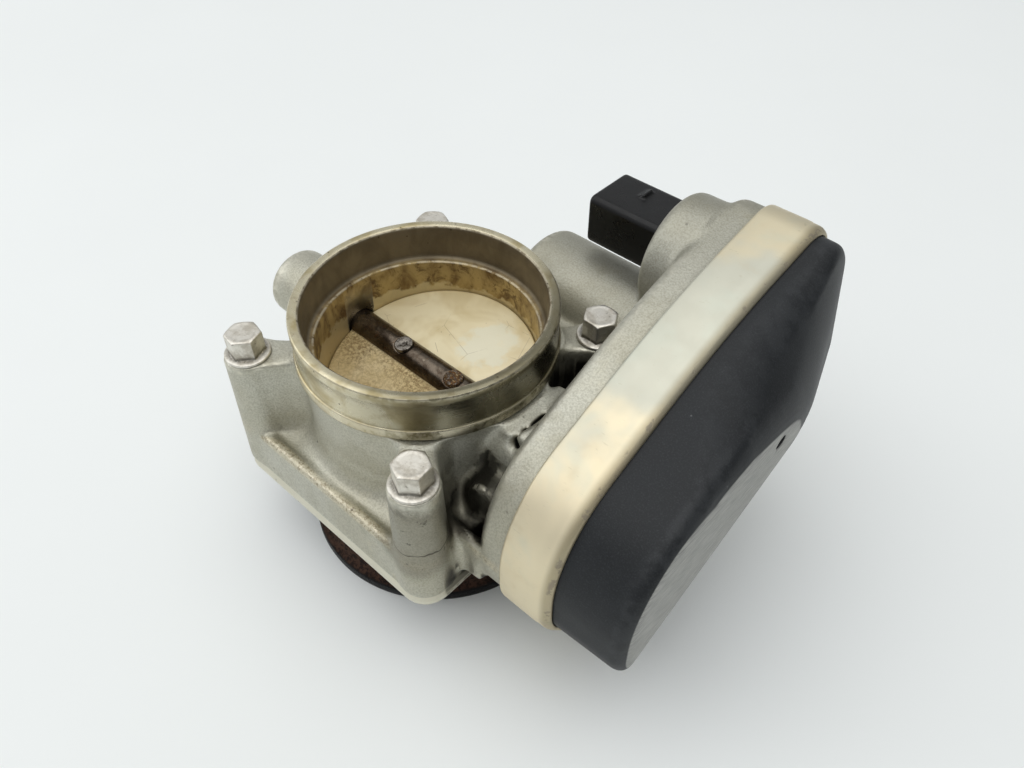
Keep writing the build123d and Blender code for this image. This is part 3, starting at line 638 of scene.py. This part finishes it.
def connector_plastic():
    """Smoother and glossier black than the cover."""
    p = Paint("connector_plastic")
    p.shader.inputs["Specular IOR Level"].default_value = 0.32
    cloud = p.noise(12, 3, 0.6)
    colour = p.mix(p.band(cloud, 0.4, 0.7), srgb(7, 7, 8), srgb(13, 14, 15))
    dust = p.specks(2.4, 0.03, 0.08, p.noise(8), 0.5, 0.6)
    colour = p.mix(p.times(dust, 0.4), colour, srgb(110, 112, 112))
    p.bump(p.noise(0.7, 2, 0.5), 0.012)
    p.bump(p.noise(9, 2), 0.12)
    return p.done(colour, p.band(p.noise(5, 4, 0.6), 0.3, 0.7, 0.24, 0.38))


def zinc_steel():
    """Plated bolts: bright, stained, with dirt and painted shade where head meets washer and washer
    meets seat.
    """
    p = Paint("zinc_steel", Metallic=0.95)
    stain = p.noise(4.5, 4, 0.65, 0.3)
    colour = p.mix(p.band(stain, 0.4, 0.66), srgb(226, 222, 212), srgb(190, 184, 171))
    scratch = p.noise(1, 3, 0.6, 0.5, place=p.stretched(2.6, 0.5, 1.2, (0, 0, 0.6)))
    scratch = p.band(scratch, 0.62, 0.7)
    colour = p.mix(p.times(scratch, 0.4), colour, srgb(235, 232, 224))
    dirt = p.band(p.noise(1.5, 4, 0.7), 0.62, 0.72)
    colour = p.mix(p.times(dirt, 0.5), colour, srgb(88, 78, 62))
    # dirt and painted shade in the crevice under the head and at the washer's foot
    crevice_dirt_shade = p.times(p.layer("crevice_dirt_shade"), p.band(p.noise(1.2, 4, 0.7), 0.3, 0.55, 0.4, 1))
    colour = p.mix(p.times(crevice_dirt_shade, 0.7), colour, srgb(72, 66, 55))
    p.bump(p.noise(0.9, 3, 0.6), 0.03)
    p.bump(scratch, -0.02)
    return p.done(colour, p.band(stain, 0.3, 0.7, 0.34, 0.5))


def shaft_steel():
    """Polished shaft under brown varnish, with rust and dried spots."""
    p = Paint("shaft_steel", Metallic=0.9)
    stain = p.noise(6.5, 5, 0.7, 0.6)
    rust = p.noise(1.8, 5, 0.7, 0.4)
    colour = p.mix(p.band(stain, 0.38, 0.62), srgb(108, 98, 86), srgb(70, 60, 50))
    colour = p.mix(p.band(rust, 0.56, 0.7, 0, 0.7), colour, srgb(92, 62, 38))
    spots = p.band(p.noise(2.6, 4, 0.7, 0.5), 0.62, 0.74, 0, 0.6)
    colour = p.mix(spots, colour, srgb(164, 154, 136))
    p.bump(rust, 0.015)
    return p.done(colour, p.band(rust, 0.35, 0.7, 0.16, 0.32))


def plate_brass():
    """Plate under a pale baked film, speckled brown on its lower half."""
    p = Paint("plate_brass", Metallic=0.15)
    y = p.axis("Y")
    wide = p.noise(16, 3, 0.55, 0.6)
    colour = p.mix(p.band(wide, 0.36, 0.66), srgb(230, 218, 182), srgb(210, 193, 149))
    pool_at = (8.0, 17.0, 40.0)
    milky = p.math("ADD", p.distance(pool_at), p.band(p.noise(7, 4, 0.6), 0.25, 0.75, -5, 5))
    colour = p.mix(p.band(milky, 5, 11, 0.85, 0), colour, srgb(226, 222, 198))
    low = p.band(y, -3.0, -6.0)
    mottle = p.noise(1.0, 6, 0.85, 0.2)
    thick = p.band(p.noise(8, 3, 0.6), 0.3, 0.6, 0.5, 1)
    thick = p.times(p.band(y, -22.0, -4.0, 0.35, 1.0), thick)
    speck = p.times(p.times(low, thick), p.band(mottle, 0.44, 0.56))
    colour = p.mix(p.times(low, 0.55), colour, srgb(208, 183, 128))
    colour = p.mix(p.times(speck, 0.9), colour, srgb(120, 92, 48))
    lines = p.band(p.cells(15, feature="DISTANCE_TO_EDGE"), 0.0, 0.006, 1, 0)
    lines = p.times(lines, p.band(p.noise(9), 0.5, 0.56))
    colour = p.mix(p.times(lines, 0.6), colour, srgb(120, 98, 62))
    dots = p.specks(1.7, 0.05, 0.16, p.noise(8, 2), 0.6, 0.68)
    colour = p.mix(p.times(dots, 0.8), colour, srgb(100, 78, 46))
    p.bump(p.noise(2.4, 4, 0.6), 0.05)
    p.bump(speck, 0.06)
    rough = p.band(wide, 0.3, 0.7, 0.34, 0.5)
    return p.done(colour, p.math("ADD", rough, p.times(low, 0.12)))


def crusty_steel():
    """Plate screws; the one beyond crust_x is rusted over."""
    p = Paint("screw_steel", Metallic=0.8)
    crust_x = (2, 4)
    crust = p.band(p.noise(0.8, 5, 0.8, 0.5), 0.42, 0.56)
    crust = p.times(p.band(p.axis("X"), *crust_x), crust)
    colour = p.mix(p.band(p.noise(1.4, 4, 0.6), 0.4, 0.65), srgb(132, 126, 118), srgb(66, 60, 53))
    colour = p.mix(crust, colour, srgb(112, 78, 44))
    colour = p.mix(p.times(crust, p.band(p.noise(0.5, 3), 0.55, 0.62)), colour, srgb(196, 178, 142))
    p.bump(p.noise(0.6, 4, 0.7), 0.05)
    p.bump(crust, 0.12)
    return p.done(colour, p.band(crust, 0, 1, 0.2, 0.7))


def gasket_rubber():
    """Black ring, caked brown between its grey top and its clean lip."""
    p = Paint("gasket_rubber")
    p.shader.inputs["Specular IOR Level"].default_value = 0.14
    z = p.axis("Z")
    edge = p.math("ADD", z, p.band(p.noise(6, 4, 0.7), 0.3, 0.7, -1.5, 1.5))
    dirt = p.times(p.band(edge, -13.0, -10.4, 1, 0.15), p.band(z, -21.6, -20.8))
    crumb = p.noise(1.7, 5, 0.75, 0.5)
    brown = p.mix(p.band(crumb, 0.4, 0.62), srgb(74, 54, 44), srgb(34, 26, 23))
    colour = p.mix(p.times(dirt, 0.95), srgb(3, 3, 4), brown)
    colour = p.mix(p.band(z, -10.6, -9.6), colour, srgb(44, 45, 46))
    p.bump(crumb, 0.35)
    p.bump(p.noise(0.6, 3), 0.05)
    return p.done(colour, p.band(dirt, 0, 1, 0.42, 0.85))


def plain(name, colour, rough, metallic=0.0, size=3.0, depth=0.03, second=0.8):
    """Small and hidden pieces: two close tones, fine relief and uneven gloss."""
    p = Paint(name, Metallic=metallic)
    stain = p.noise(size, 4, 0.6)
    dark = tuple(c * second for c in colour)
    mixed = p.mix(p.band(stain, 0.35, 0.68), srgb(*colour), srgb(*dark))
    p.bump(p.noise(size * 0.2, 3, 0.6), depth)
    return p.done(mixed, p.band(stain, 0.3, 0.7, rough, min(1.0, rough + 0.15)))


def wound_core():
    """Armature: stacked steel sheets with copper windings past both ends of the stack."""
    stack_x = (7.4, 41.6)
    p = Paint("laminated_steel", Metallic=0.8)
    sheets = p.noise(1, 1, 0.5, place=p.stretched(2.4, 0.01, 0.01))
    wire = p.noise(1, 2, 0.5, place=p.stretched(0.2, 1.6, 1.6))
    core = p.mix(p.band(sheets, 0.4, 0.6), srgb(120, 116, 110), srgb(84, 80, 76))
    copper = p.mix(p.band(wire, 0.4, 0.6), srgb(176, 96, 56), srgb(120, 60, 34))
    x = p.axis("X")
    ends = p.most(p.band(x, stack_x[0], stack_x[0] - 0.6), p.band(x, stack_x[1], stack_x[1] + 0.6))
    p.bump(sheets, 0.1)
    return p.done(p.mix(ends, core, copper), 0.4)


MAT = {
    "cast_aluminium": cast_aluminium(),
    "turned_aluminium": turned_aluminium(),
    "sleeve_plastic": plain("sleeve_plastic", (58, 60, 61), 0.5, size=5, depth=0.06),
    "gasket_rubber": gasket_rubber(),
    "zinc_steel": zinc_steel(),
    "shaft_steel": shaft_steel(),
    "plate_brass": plate_brass(),
    "screw_steel": crusty_steel(),
    "bearing_steel": plain("bearing_steel", (190, 190, 190), 0.2, 1.0, size=2),
    "seal_rubber": plain("seal_rubber", (26, 26, 27), 0.6, size=2),
    "spring_steel": plain("spring_steel", (120, 120, 122), 0.3, 1.0, size=2),
    "gear_plastic": plain("gear_plastic", (206, 198, 172), 0.45, size=4),
    "spacer_plastic": plain("spacer_plastic", (40, 40, 42), 0.45, size=3),
    "board_laminate": plain("board_laminate", (34, 92, 56), 0.4, size=3),
    "contact_bronze": plain("contact_bronze", (206, 160, 92), 0.3, 1.0, size=2),
    "can_steel": plain("can_steel", (186, 184, 178), 0.32, 0.95, size=6),
    "ferrite": plain("ferrite", (50, 50, 52), 0.6, size=2),
    "laminated_steel": wound_core(),
    "copper": plain("copper", (190, 112, 72), 0.3, 1.0, size=1.5),
    "carbon": plain("carbon", (34, 34, 35), 0.6, size=1),
    "holder_plastic": plain("holder_plastic", (60, 48, 38), 0.5, size=3),
    "pinion_brass": plain("pinion_brass", (214, 176, 96), 0.28, 1.0, size=2),
    "cover_plastic": cover_plastic(),
    "band_steel": band_steel(),
    "connector_plastic": connector_plastic(),
}

# every CAD node starts with its own slot's material
slots = {s["node"]: s["material_slot"] for s in frame["record"]["subparts"]}
for node, obj in NODES.items():
    obj.data.materials.clear()
    obj.data.materials.append(MAT[slots[node]])
    for polygon in obj.data.polygons:
        polygon.material_index = 0


# ------------------------------------------------------------------ housing casting
def casting():
    """The housing with cast fillets; also how curved and how hidden each point is, the latter for
    painted shade in its recesses.
    """
    cell = 0.6
    fillet, low_fillet, skin, sharp = 2.3, 4.4, 0.85, 0.42
    grid = Grid.of_node("housing", cell, 12)
    x, y, z = grid.x, grid.y, grid.z
    radius = np.hypot(x, y)
    raw = grid.value
    # machined places keep their shape; the rest gets cast fillets
    cast = ramp01(z, 4.5, 7.5) * ramp01(radius, 36.5, 38.0) * (1 - ramp01(x, 57.5, 59.0))
    for bx, by in BOLTS:
        near = 1 - ramp01(np.hypot(x - bx, y - by), 7.8, 9.5)
        cast = cast * (1 - near * ramp01(z, 44.5, 46.5))
    cast = cast.astype(np.float32)
    wide = blur(raw, fillet / cell)
    low = cast * (1 - ramp01(z, 30.0, 36.0)) * (1 - ramp01(radius, 47.0, 50.0))
    low = low.astype(np.float32)
    filled = np.minimum(raw, wide * cast + raw * (1 - cast))
    filled = np.minimum(filled, blur(raw, low_fillet / cell) * low + filled * (1 - low))
    # shelf of the flange, with its cove against the body, kept off the pocket beside the case
    shelf = join_round(radius - BODY_R, z - SHELF_Z, COVE_R)
    along = np.maximum(FLANGE_X[0] - x, x - FLANGE_X[1])
    across = np.maximum(FLANGE_Y[0] - y, y - FLANGE_Y[1])
    reach = np.maximum(along, across)
    reach = np.maximum(reach, -np.maximum(18.0 - x, np.abs(y) - 28.0))
    shelf = np.maximum(shelf, reach)
    shelf = np.maximum(shelf, np.maximum(z - SHELF_Z - COVE_R, radius - 58.0))
    shelf = np.maximum(shelf, 12.0 - z)
    filled = np.minimum(filled, join_round(filled, shelf, 1.5))
    soft = blur(filled, skin / cell)
    fine = blur(filled, sharp / cell)
    value = soft * cast + fine * (1 - cast)
    # the turned bore and collar are a piece of their own
    value = np.maximum(value, 35.0 - radius)
    value = np.maximum(value, np.minimum(z - 48.9, 41.2 - radius))
    grid.value = value.astype(np.float32)
    mesh = grid.mesh("casting")
    points = points_of(mesh)
    curve = grid.sample(blur(grid.value, 1.4 / cell) - grid.value, points)
    # how little sky each point sees, kept as painted shade; lessened on the trough, deepened in the
    # pocket beside the case
    occlusion_shade = 1 - sky(grid, points, normals_of(mesh))
    px, pz = points[:, 0], points[:, 2]
    trough = ramp01(pz, 11.0, 14.0) * (1 - ramp01(pz, 22.0, 26.0))
    occlusion_shade *= 1 - 0.42 * trough
    pocket = ramp01(px, 33.0, 40.0) * (1 - ramp01(px, 55.0, 58.5)) * (1 - ramp01(pz, 40.0, 47.0))
    occlusion_shade += 0.34 * pocket * ramp01(occlusion_shade, 0.12, 0.4)
    return mesh, points, curve, occlusion_shade


mesh, points, curve, occlusion_shade = casting()
# rough flash on the flange wall's ridge and a slight unevenness of the cast skin
normals = normals_of(mesh)
height = points[:, 2]
ridge = ramp01(curve, 0.10, 0.3) * ramp01(height, 18.0, 19.5) * (1 - ramp01(height, 21.5, 23.0))
shift = 0.03 * lattice_noise(points, 9.0, 1) * ramp01(height, 5, 8)
shift += ridge * 0.09 * (lattice_noise(points, 1.3, 2) + 0.7 * lattice_noise(points, 0.7, 3))
machined = ramp01(np.abs(normals[:, 2]), 0.95, 0.99) * ramp01(height, 47.0, 47.6)
shift *= 1 - machined
moved = (points + normals * shift[:, None]) * MM
mesh.vertices.foreach_set("co", moved.astype(np.float32).ravel())
paint(mesh, "edge", np.clip(curve / 0.45, 0, 1))
# painted shade in the recesses
paint(mesh, "recess_shade", np.clip(occlusion_shade, 0, 1))
paint(mesh, "ridge", ridge)
body_piece = piece(
    "housing_casting", mesh, "body", "cast_aluminium", MAT["cast_aluminium"], "housing"
)
thin_out(body_piece, CASTING_FACES)


# ------------------------------------------------------------------ turned bore and collar
def turned_bore():
    """Bore, step, collar with its shallow recess, and the ring below it, as one lathed piece."""
    profile = [
        (36.0, 6.0), (BORE_R, 6.0), (BORE_R, 30.0), (BORE_R, 52.9), (34.15, 53.3), (34.5, STEP_Z),
        (35.2, 53.6), (35.9, 53.9), (36.3, 54.4), (INTAKE_R, 55.2), (INTAKE_R, 60.0),
        (INTAKE_R, 64.8), (36.6, 65.3), (36.95, 65.65), (37.3, COLLAR_TOP), (39.3, COLLAR_TOP),
        (39.75, 65.6), (COLLAR_R, 65.1), (COLLAR_R, 63.0), (39.88, 62.6), (RECESS_R, 62.3),
        (RECESS_R, 58.0), (RECESS_R, 53.8), (39.75, 53.4), (COLLAR_R, 53.25), (40.2, 53.15),
        (SEAT_RING_R, 52.8), (SEAT_RING_R, 50.3), (40.25, 49.95), (39.9, 49.7),
        (39.2, 49.1), (38.75, 48.7), (38.5, 48.2), (38.4, 47.0), (36.0, 46.0),
    ]
    mesh = lathe("bore", profile, 240)
    points = points_of(mesh)
    radius = np.hypot(points[:, 0], points[:, 1])
    paint(mesh, "inside", (radius < 37.1).astype(float))
    edges = [(36.95, 65.65), (39.9, 65.4), (SEAT_RING_R, 52.9), (34.3, 53.4), (40.2, 50.0)]
    near = np.zeros(len(points))
    for er, ez in edges:
        near = np.maximum(near, 1 - np.hypot(radius - er, points[:, 2] - ez) / 0.7)
    paint(mesh, "edge", np.clip(near, 0, 1))
    return mesh


def bored(obj, cutter_mesh):
    """Cut a closed mesh out of obj for good."""
    tool = bpy.data.objects.new("tool", cutter_mesh)
    bpy.context.scene.collection.objects.link(tool)
    cut = obj.modifiers.new("cut", "BOOLEAN")
    cut.operation, cut.object, cut.solver = "DIFFERENCE", tool, "EXACT"
    graph = bpy.context.evaluated_depsgraph_get()
    made = bpy.data.meshes.new_from_object(obj.evaluated_get(graph))
    obj.modifiers.clear()
    obj.data = made
    bpy.data.objects.remove(tool)


bore = piece(
    "housing_bore", turned_bore(), "body", "cast_aluminium", MAT["turned_aluminium"], "housing"
)
shaft_hole = [(0.01, -50.0), (5.35, -50.0), (5.35, 50.0), (0.01, 50.0)]
bored(bore, lathe("line", shaft_hole, 64, "x", (0, 0, SHAFT_Z)))


# ------------------------------------------------------------------ gear cover
def plane_distance(grid, point, normal):
    """Signed distance from a plane, positive on the side its normal points to."""
    n = np.array(normal) / np.linalg.norm(normal)
    return (grid.x - point[0]) * n[0] + (grid.y - point[1]) * n[1] + (grid.z - point[2]) * n[2]


def cover():
    """Hollow cover over the case outline, with sloped planes round its flat end face."""
    cell = 0.6
    wall_thick = 1.9
    grid = Grid.around((67.5, -38, -14), (103.5, 97, 92), cell)
    x, y, z = grid.x, grid.y, grid.z
    side = case_distance(y, z)
    lean = np.maximum(x - 70.0, 0) * math.tan(math.radians(2.0))
    wall = side + 2.25 + lean
    far = plane_distance(grid, (FACE_X, 48, 57), (0.943, 0.309, 0.123))
    low = plane_distance(grid, (84, 0, -6.3), (0.80, 0.24, -0.55))
    stations = np.array([4.0, 20.0, 34.0, 48.0, 100.0])
    x_wall = np.interp(y, stations, [99.8, 91.0, 87.2, 87.0, 87.0])
    z_wall = np.interp(y, stations, [60.6, 67.6, 73.0, 76.6, 86.5])
    z_face = np.interp(y, stations, [58.6, 60.6, 59.2, 57.0, 48.0])
    run, drop = FACE_X - x_wall, z_wall - z_face
    size = np.hypot(run, drop)
    top = ((x - x_wall) * drop + (z - z_wall) * run) / size
    outer = cut_round(wall, x - FACE_X, 4.2)
    outer = cut_round(outer, far, 3.0)
    outer = cut_round(outer, low, 3.0)
    outer = cut_round(outer, top, 5.0)
    shell = np.maximum(np.maximum(outer, -(outer + wall_thick)), 75.8 - x)
    rim = np.maximum(np.maximum(side + 1.25, -(side + 4.0)), np.maximum(69.0 - x, x - 76.8))
    shell = np.minimum(shell, rim)
    hole = np.hypot((y - 36.2) * 0.75, z - 50.4) - 1.8
    shell = np.maximum(shell, -np.maximum(hole, 98.8 - x))
    grid.value = np.broadcast_to(shell, (x.size, y.size, z.size)).astype(np.float32)
    grid.value = blur(grid.value, 0.45 / cell)
    mesh = grid.mesh("cover")
    points = points_of(mesh)
    flat = blur(np.broadcast_to(outer, grid.value.shape).astype(np.float32), 2.5 / cell)
    curve = grid.sample(flat - outer, points)
    paint(mesh, "edge", np.clip(curve / 0.8, 0, 1))
    paint(mesh, "face", ramp01(points[:, 0], FACE_X - 0.9, FACE_X - 0.2))
    return mesh


piece("gear_cover_moulding", cover(), "body", "cover_plastic", MAT["cover_plastic"], "gear_cover")


# ------------------------------------------------------------------ clamp band
section = [
    (BAND_X[0], 1.25), (60.05, 0.75), (60.2, 0.35), (60.5, 0.1), (61.0, 0.0), (66.0, 0.0),
    (71.5, 0.0),
    (72.6, 0.05), (73.4, 0.18), (74.2, 0.22), (75.4, 0.22), (76.2, 0.35), (76.9, 0.65),
    (77.5, 1.1), (77.85, 1.6), (BAND_X[1], 2.1), (77.9, 2.35), (77.6, 2.4), (77.3, 2.2),
    (77.0, 1.7), (76.5, 1.35), (75.8, 1.2), (70.0, 1.2), (61.0, 1.2), (60.3, 1.3),
]
mesh = swept_rings("band", section)
along = points_of(mesh)[:, 0]
paint(mesh, "edge", np.clip((along - 75.6) / 1.6, 0, 1) * np.clip((78.2 - along) / 0.6, 0, 1))
piece("clamp_band_rolled", mesh, "body", "band_steel", MAT["band_steel"], "clamp_band")


# ------------------------------------------------------------------ flange bolts
def hex_bolt(turn):
    """Head and washer of one flange bolt about its own axis, turned by that many radians."""
    cell = 0.2
    half_flats, head_top, head_foot, washer_r = 4.98, 8.4, 1.0, 7.1
    grid = Grid.around((-8, -8, -1.2), (8, 8, 10.2), cell)
    x, y, z = grid.x, grid.y, grid.z
    radius = np.hypot(x, y)
    flats = [
        x * math.cos(a) + y * math.sin(a)
        for a in (turn + k * math.pi / 3 for k in range(3))
    ]
    across = np.maximum(np.maximum(np.abs(flats[0]), np.abs(flats[1])), np.abs(flats[2]))
    top = head_top - 0.08 * (1 - ramp01(radius, 3.2, 4.4))
    head = cut_round(across - half_flats, z - top, 0.2)
    chamfer = (z - head_top) * 0.86 + (radius - 4.85) * 0.5
    head = cut_round(np.maximum(head, head_foot - z), chamfer, 0.25)
    cone = (z - 0.95) * 0.95 + (radius - 6.9) * 0.3
    washer = cut_round(radius - washer_r, np.maximum(cone, z - 1.9), 0.3)
    washer = np.maximum(washer, -z)
    both = join_round(head, washer, 0.3)
    both = np.broadcast_to(both, (x.size, y.size, z.size)).astype(np.float32)
    grid.value = blur(both, 0.45)
    mesh = grid.mesh("bolt_head")
    points = points_of(mesh)
    away = np.hypot(points[:, 0], points[:, 1])
    # dirt and painted shade under the head and at the foot
    crevice = (1 - ramp01(np.abs(points[:, 2] - 1.5), 0.3, 1.5)) * (1 - ramp01(away, 5.6, 6.8))
    foot = 1 - ramp01(points[:, 2], 0.1, 0.6)
    paint(mesh, "crevice_dirt_shade", np.maximum(crevice, foot))
    return mesh


def bolts():
    """All four flange bolts as one mesh."""
    turns = (0.35, 0.12, 0.5, 0.2)
    shank = [(0.01, -5.0), (2.2, -5.0), (2.75, -4.5), (3.0, -4.0), (3.0, 49.0), (0.01, 49.0)]
    shape = bmesh.new()
    for (bx, by), turn in zip(BOLTS, turns):
        for part, rise in ((hex_bolt(turn), SEAT_Z + 0.02), (lathe("shank", shank, 40), 0.0)):
            part.transform(Matrix.Translation((bx * MM, by * MM, rise * MM)))
            shape.from_mesh(part)
    mesh = bpy.data.meshes.new("bolts")
    shape.to_mesh(mesh)
    shape.free()
    for polygon in mesh.polygons:
        polygon.use_smooth = True
    return mesh


piece("flange_bolts_detailed", bolts(), "body", "zinc_steel", MAT["zinc_steel"], "flange_bolts")


# ------------------------------------------------------------------ softened CAD pieces
def softened(node, name, body, cell, sigma, band=4):
    """A CAD node's shape with its sharp edges broken by about sigma millimetres."""
    grid = Grid.of_node(node, cell, band)
    grid.value = blur(grid.value, sigma / cell)
    return piece(name, grid.mesh(name), body, slots[node], MAT[slots[node]], node)


softened("connector_shell", "wiring_socket", "body", 0.3, 0.35)
softened("throttle_shaft", "cross_shaft", "throttle", 0.25, 0.2)
softened("throttle_plate", "butterfly", "throttle", 0.3, 0.3)
softened("plate_screws", "plate_screw_heads", "throttle", 0.12, 0.12)
softened("manifold_sleeve", "sleeve_ring", "body", 0.5, 0.4)


profile = [
    (38.3, -9.0), (40.6, -9.0), (41.1, -9.4), (41.5, -12.0), (42.3, -15.0), (43.4, -19.6),
    (43.9, -20.6), (44.9, -20.9), (45.5, -21.4), (45.6, -22.2), (45.6, -24.4), (45.4, -25.3),
    (44.7, FLOOR_Z), (41.0, FLOOR_Z), (39.5, FLOOR_Z), (38.3, -24.6),
]
ring = lathe("gasket", profile, 200)
piece("manifold_seal_ring", ring, "body", "gasket_rubber", MAT["gasket_rubber"], "manifold_gasket")


# ------------------------------------------------------------------ floor, light, camera
floor_mesh = bpy.data.meshes.new("floor")
reach = 3.0
corners = [(sx * reach, sy * reach, FLOOR_Z * MM) for sx, sy in SQUARE]
floor_mesh.from_pydata(corners, [], [(0, 1, 2, 3)])
floor = bpy.data.objects.new("floor", floor_mesh)
bpy.context.scene.collection.objects.link(floor)
paper = plain("floor_paper", (240, 243, 242), 0.9, size=400, depth=0.0, second=0.99)
floor_mesh.materials.append(paper)


def area(name, at, target, size, power, colour):
    """Round soft lamp at a place, aimed at a target; metres and watts."""
    lamp = bpy.data.lights.new(name, "AREA")
    lamp.shape, lamp.size, lamp.energy, lamp.color = "DISK", size, power, colour
    obj = bpy.data.objects.new(name, lamp)
    obj.location = at
    aim = Vector(target) - Vector(at)
    obj.rotation_euler = aim.to_track_quat("-Z", "Y").to_euler()
    bpy.context.scene.collection.objects.link(obj)


middle = (0.02, 0.02, 0.03)
area("overhead", (-0.02, -0.22, 1.6), middle, 2.7, 19.5, (1.0, 0.995, 0.985))
area("window", (-1.35, -0.75, 0.8), middle, 0.9, 3.2, (0.98, 0.99, 1.0))


def studio_world():
    """Pale room, brighter above and to the left, darker on the side of the viewer."""
    world = bpy.data.worlds.new("studio")
    world.use_nodes = True
    tree = world.node_tree
    coords = tree.nodes.new("ShaderNodeTexCoord")
    lean = tree.nodes.new("ShaderNodeVectorMath")
    lean.operation = "DOT_PRODUCT"
    lean.inputs[1].default_value = (-0.66, -0.05, 0.75)
    level = tree.nodes.new("ShaderNodeMapRange")
    level.interpolation_type = "SMOOTHSTEP"
    dark_side, bright_side, least, most = -0.45, 0.7, 0.25, 0.60
    for socket, v in zip(level.inputs[1:5], (dark_side, bright_side, least, most)):
        socket.default_value = v
    background = tree.nodes["Background"]
    background.inputs["Color"].default_value = (0.965, 0.985, 1.0, 1)
    tree.links.new(coords.outputs["Generated"], lean.inputs[0])
    tree.links.new(lean.outputs["Value"], level.inputs["Value"])
    tree.links.new(level.outputs["Result"], background.inputs["Strength"])
    return world


bpy.context.scene.world = studio_world()
bpy.context.scene.view_settings.view_transform = "Standard"

# the camera looks down at the part from its front right; lens and sensor in millimetres
LENS, SENSOR = 30.234375, 36.0
CAMERA_AT = (0.14996, -0.12387, 0.22920)
azimuth, elevation, roll = (math.radians(v) for v in (42.916, 45.875, -0.308))
level = math.cos(elevation)
back = Vector((math.sin(azimuth) * level, -math.cos(azimuth) * level, math.sin(elevation)))
right = Vector((math.cos(azimuth), math.sin(azimuth), 0))
up = back.cross(right)
tilted = math.cos(roll) * right + math.sin(roll) * up
upward = back.cross(tilted)
lens = bpy.data.cameras.new("camera")
lens.sensor_width = SENSOR
lens.lens = LENS
camera = bpy.data.objects.new("camera", lens)
camera.matrix_world = Matrix((
    (tilted.x, upward.x, back.x, CAMERA_AT[0]),
    (tilted.y, upward.y, back.y, CAMERA_AT[1]),
    (tilted.z, upward.z, back.z, CAMERA_AT[2]),
    (0, 0, 0, 1),
))
lens.clip_start, lens.clip_end = 0.01, 20
bpy.context.scene.collection.objects.link(camera)
bpy.context.scene.camera = camera
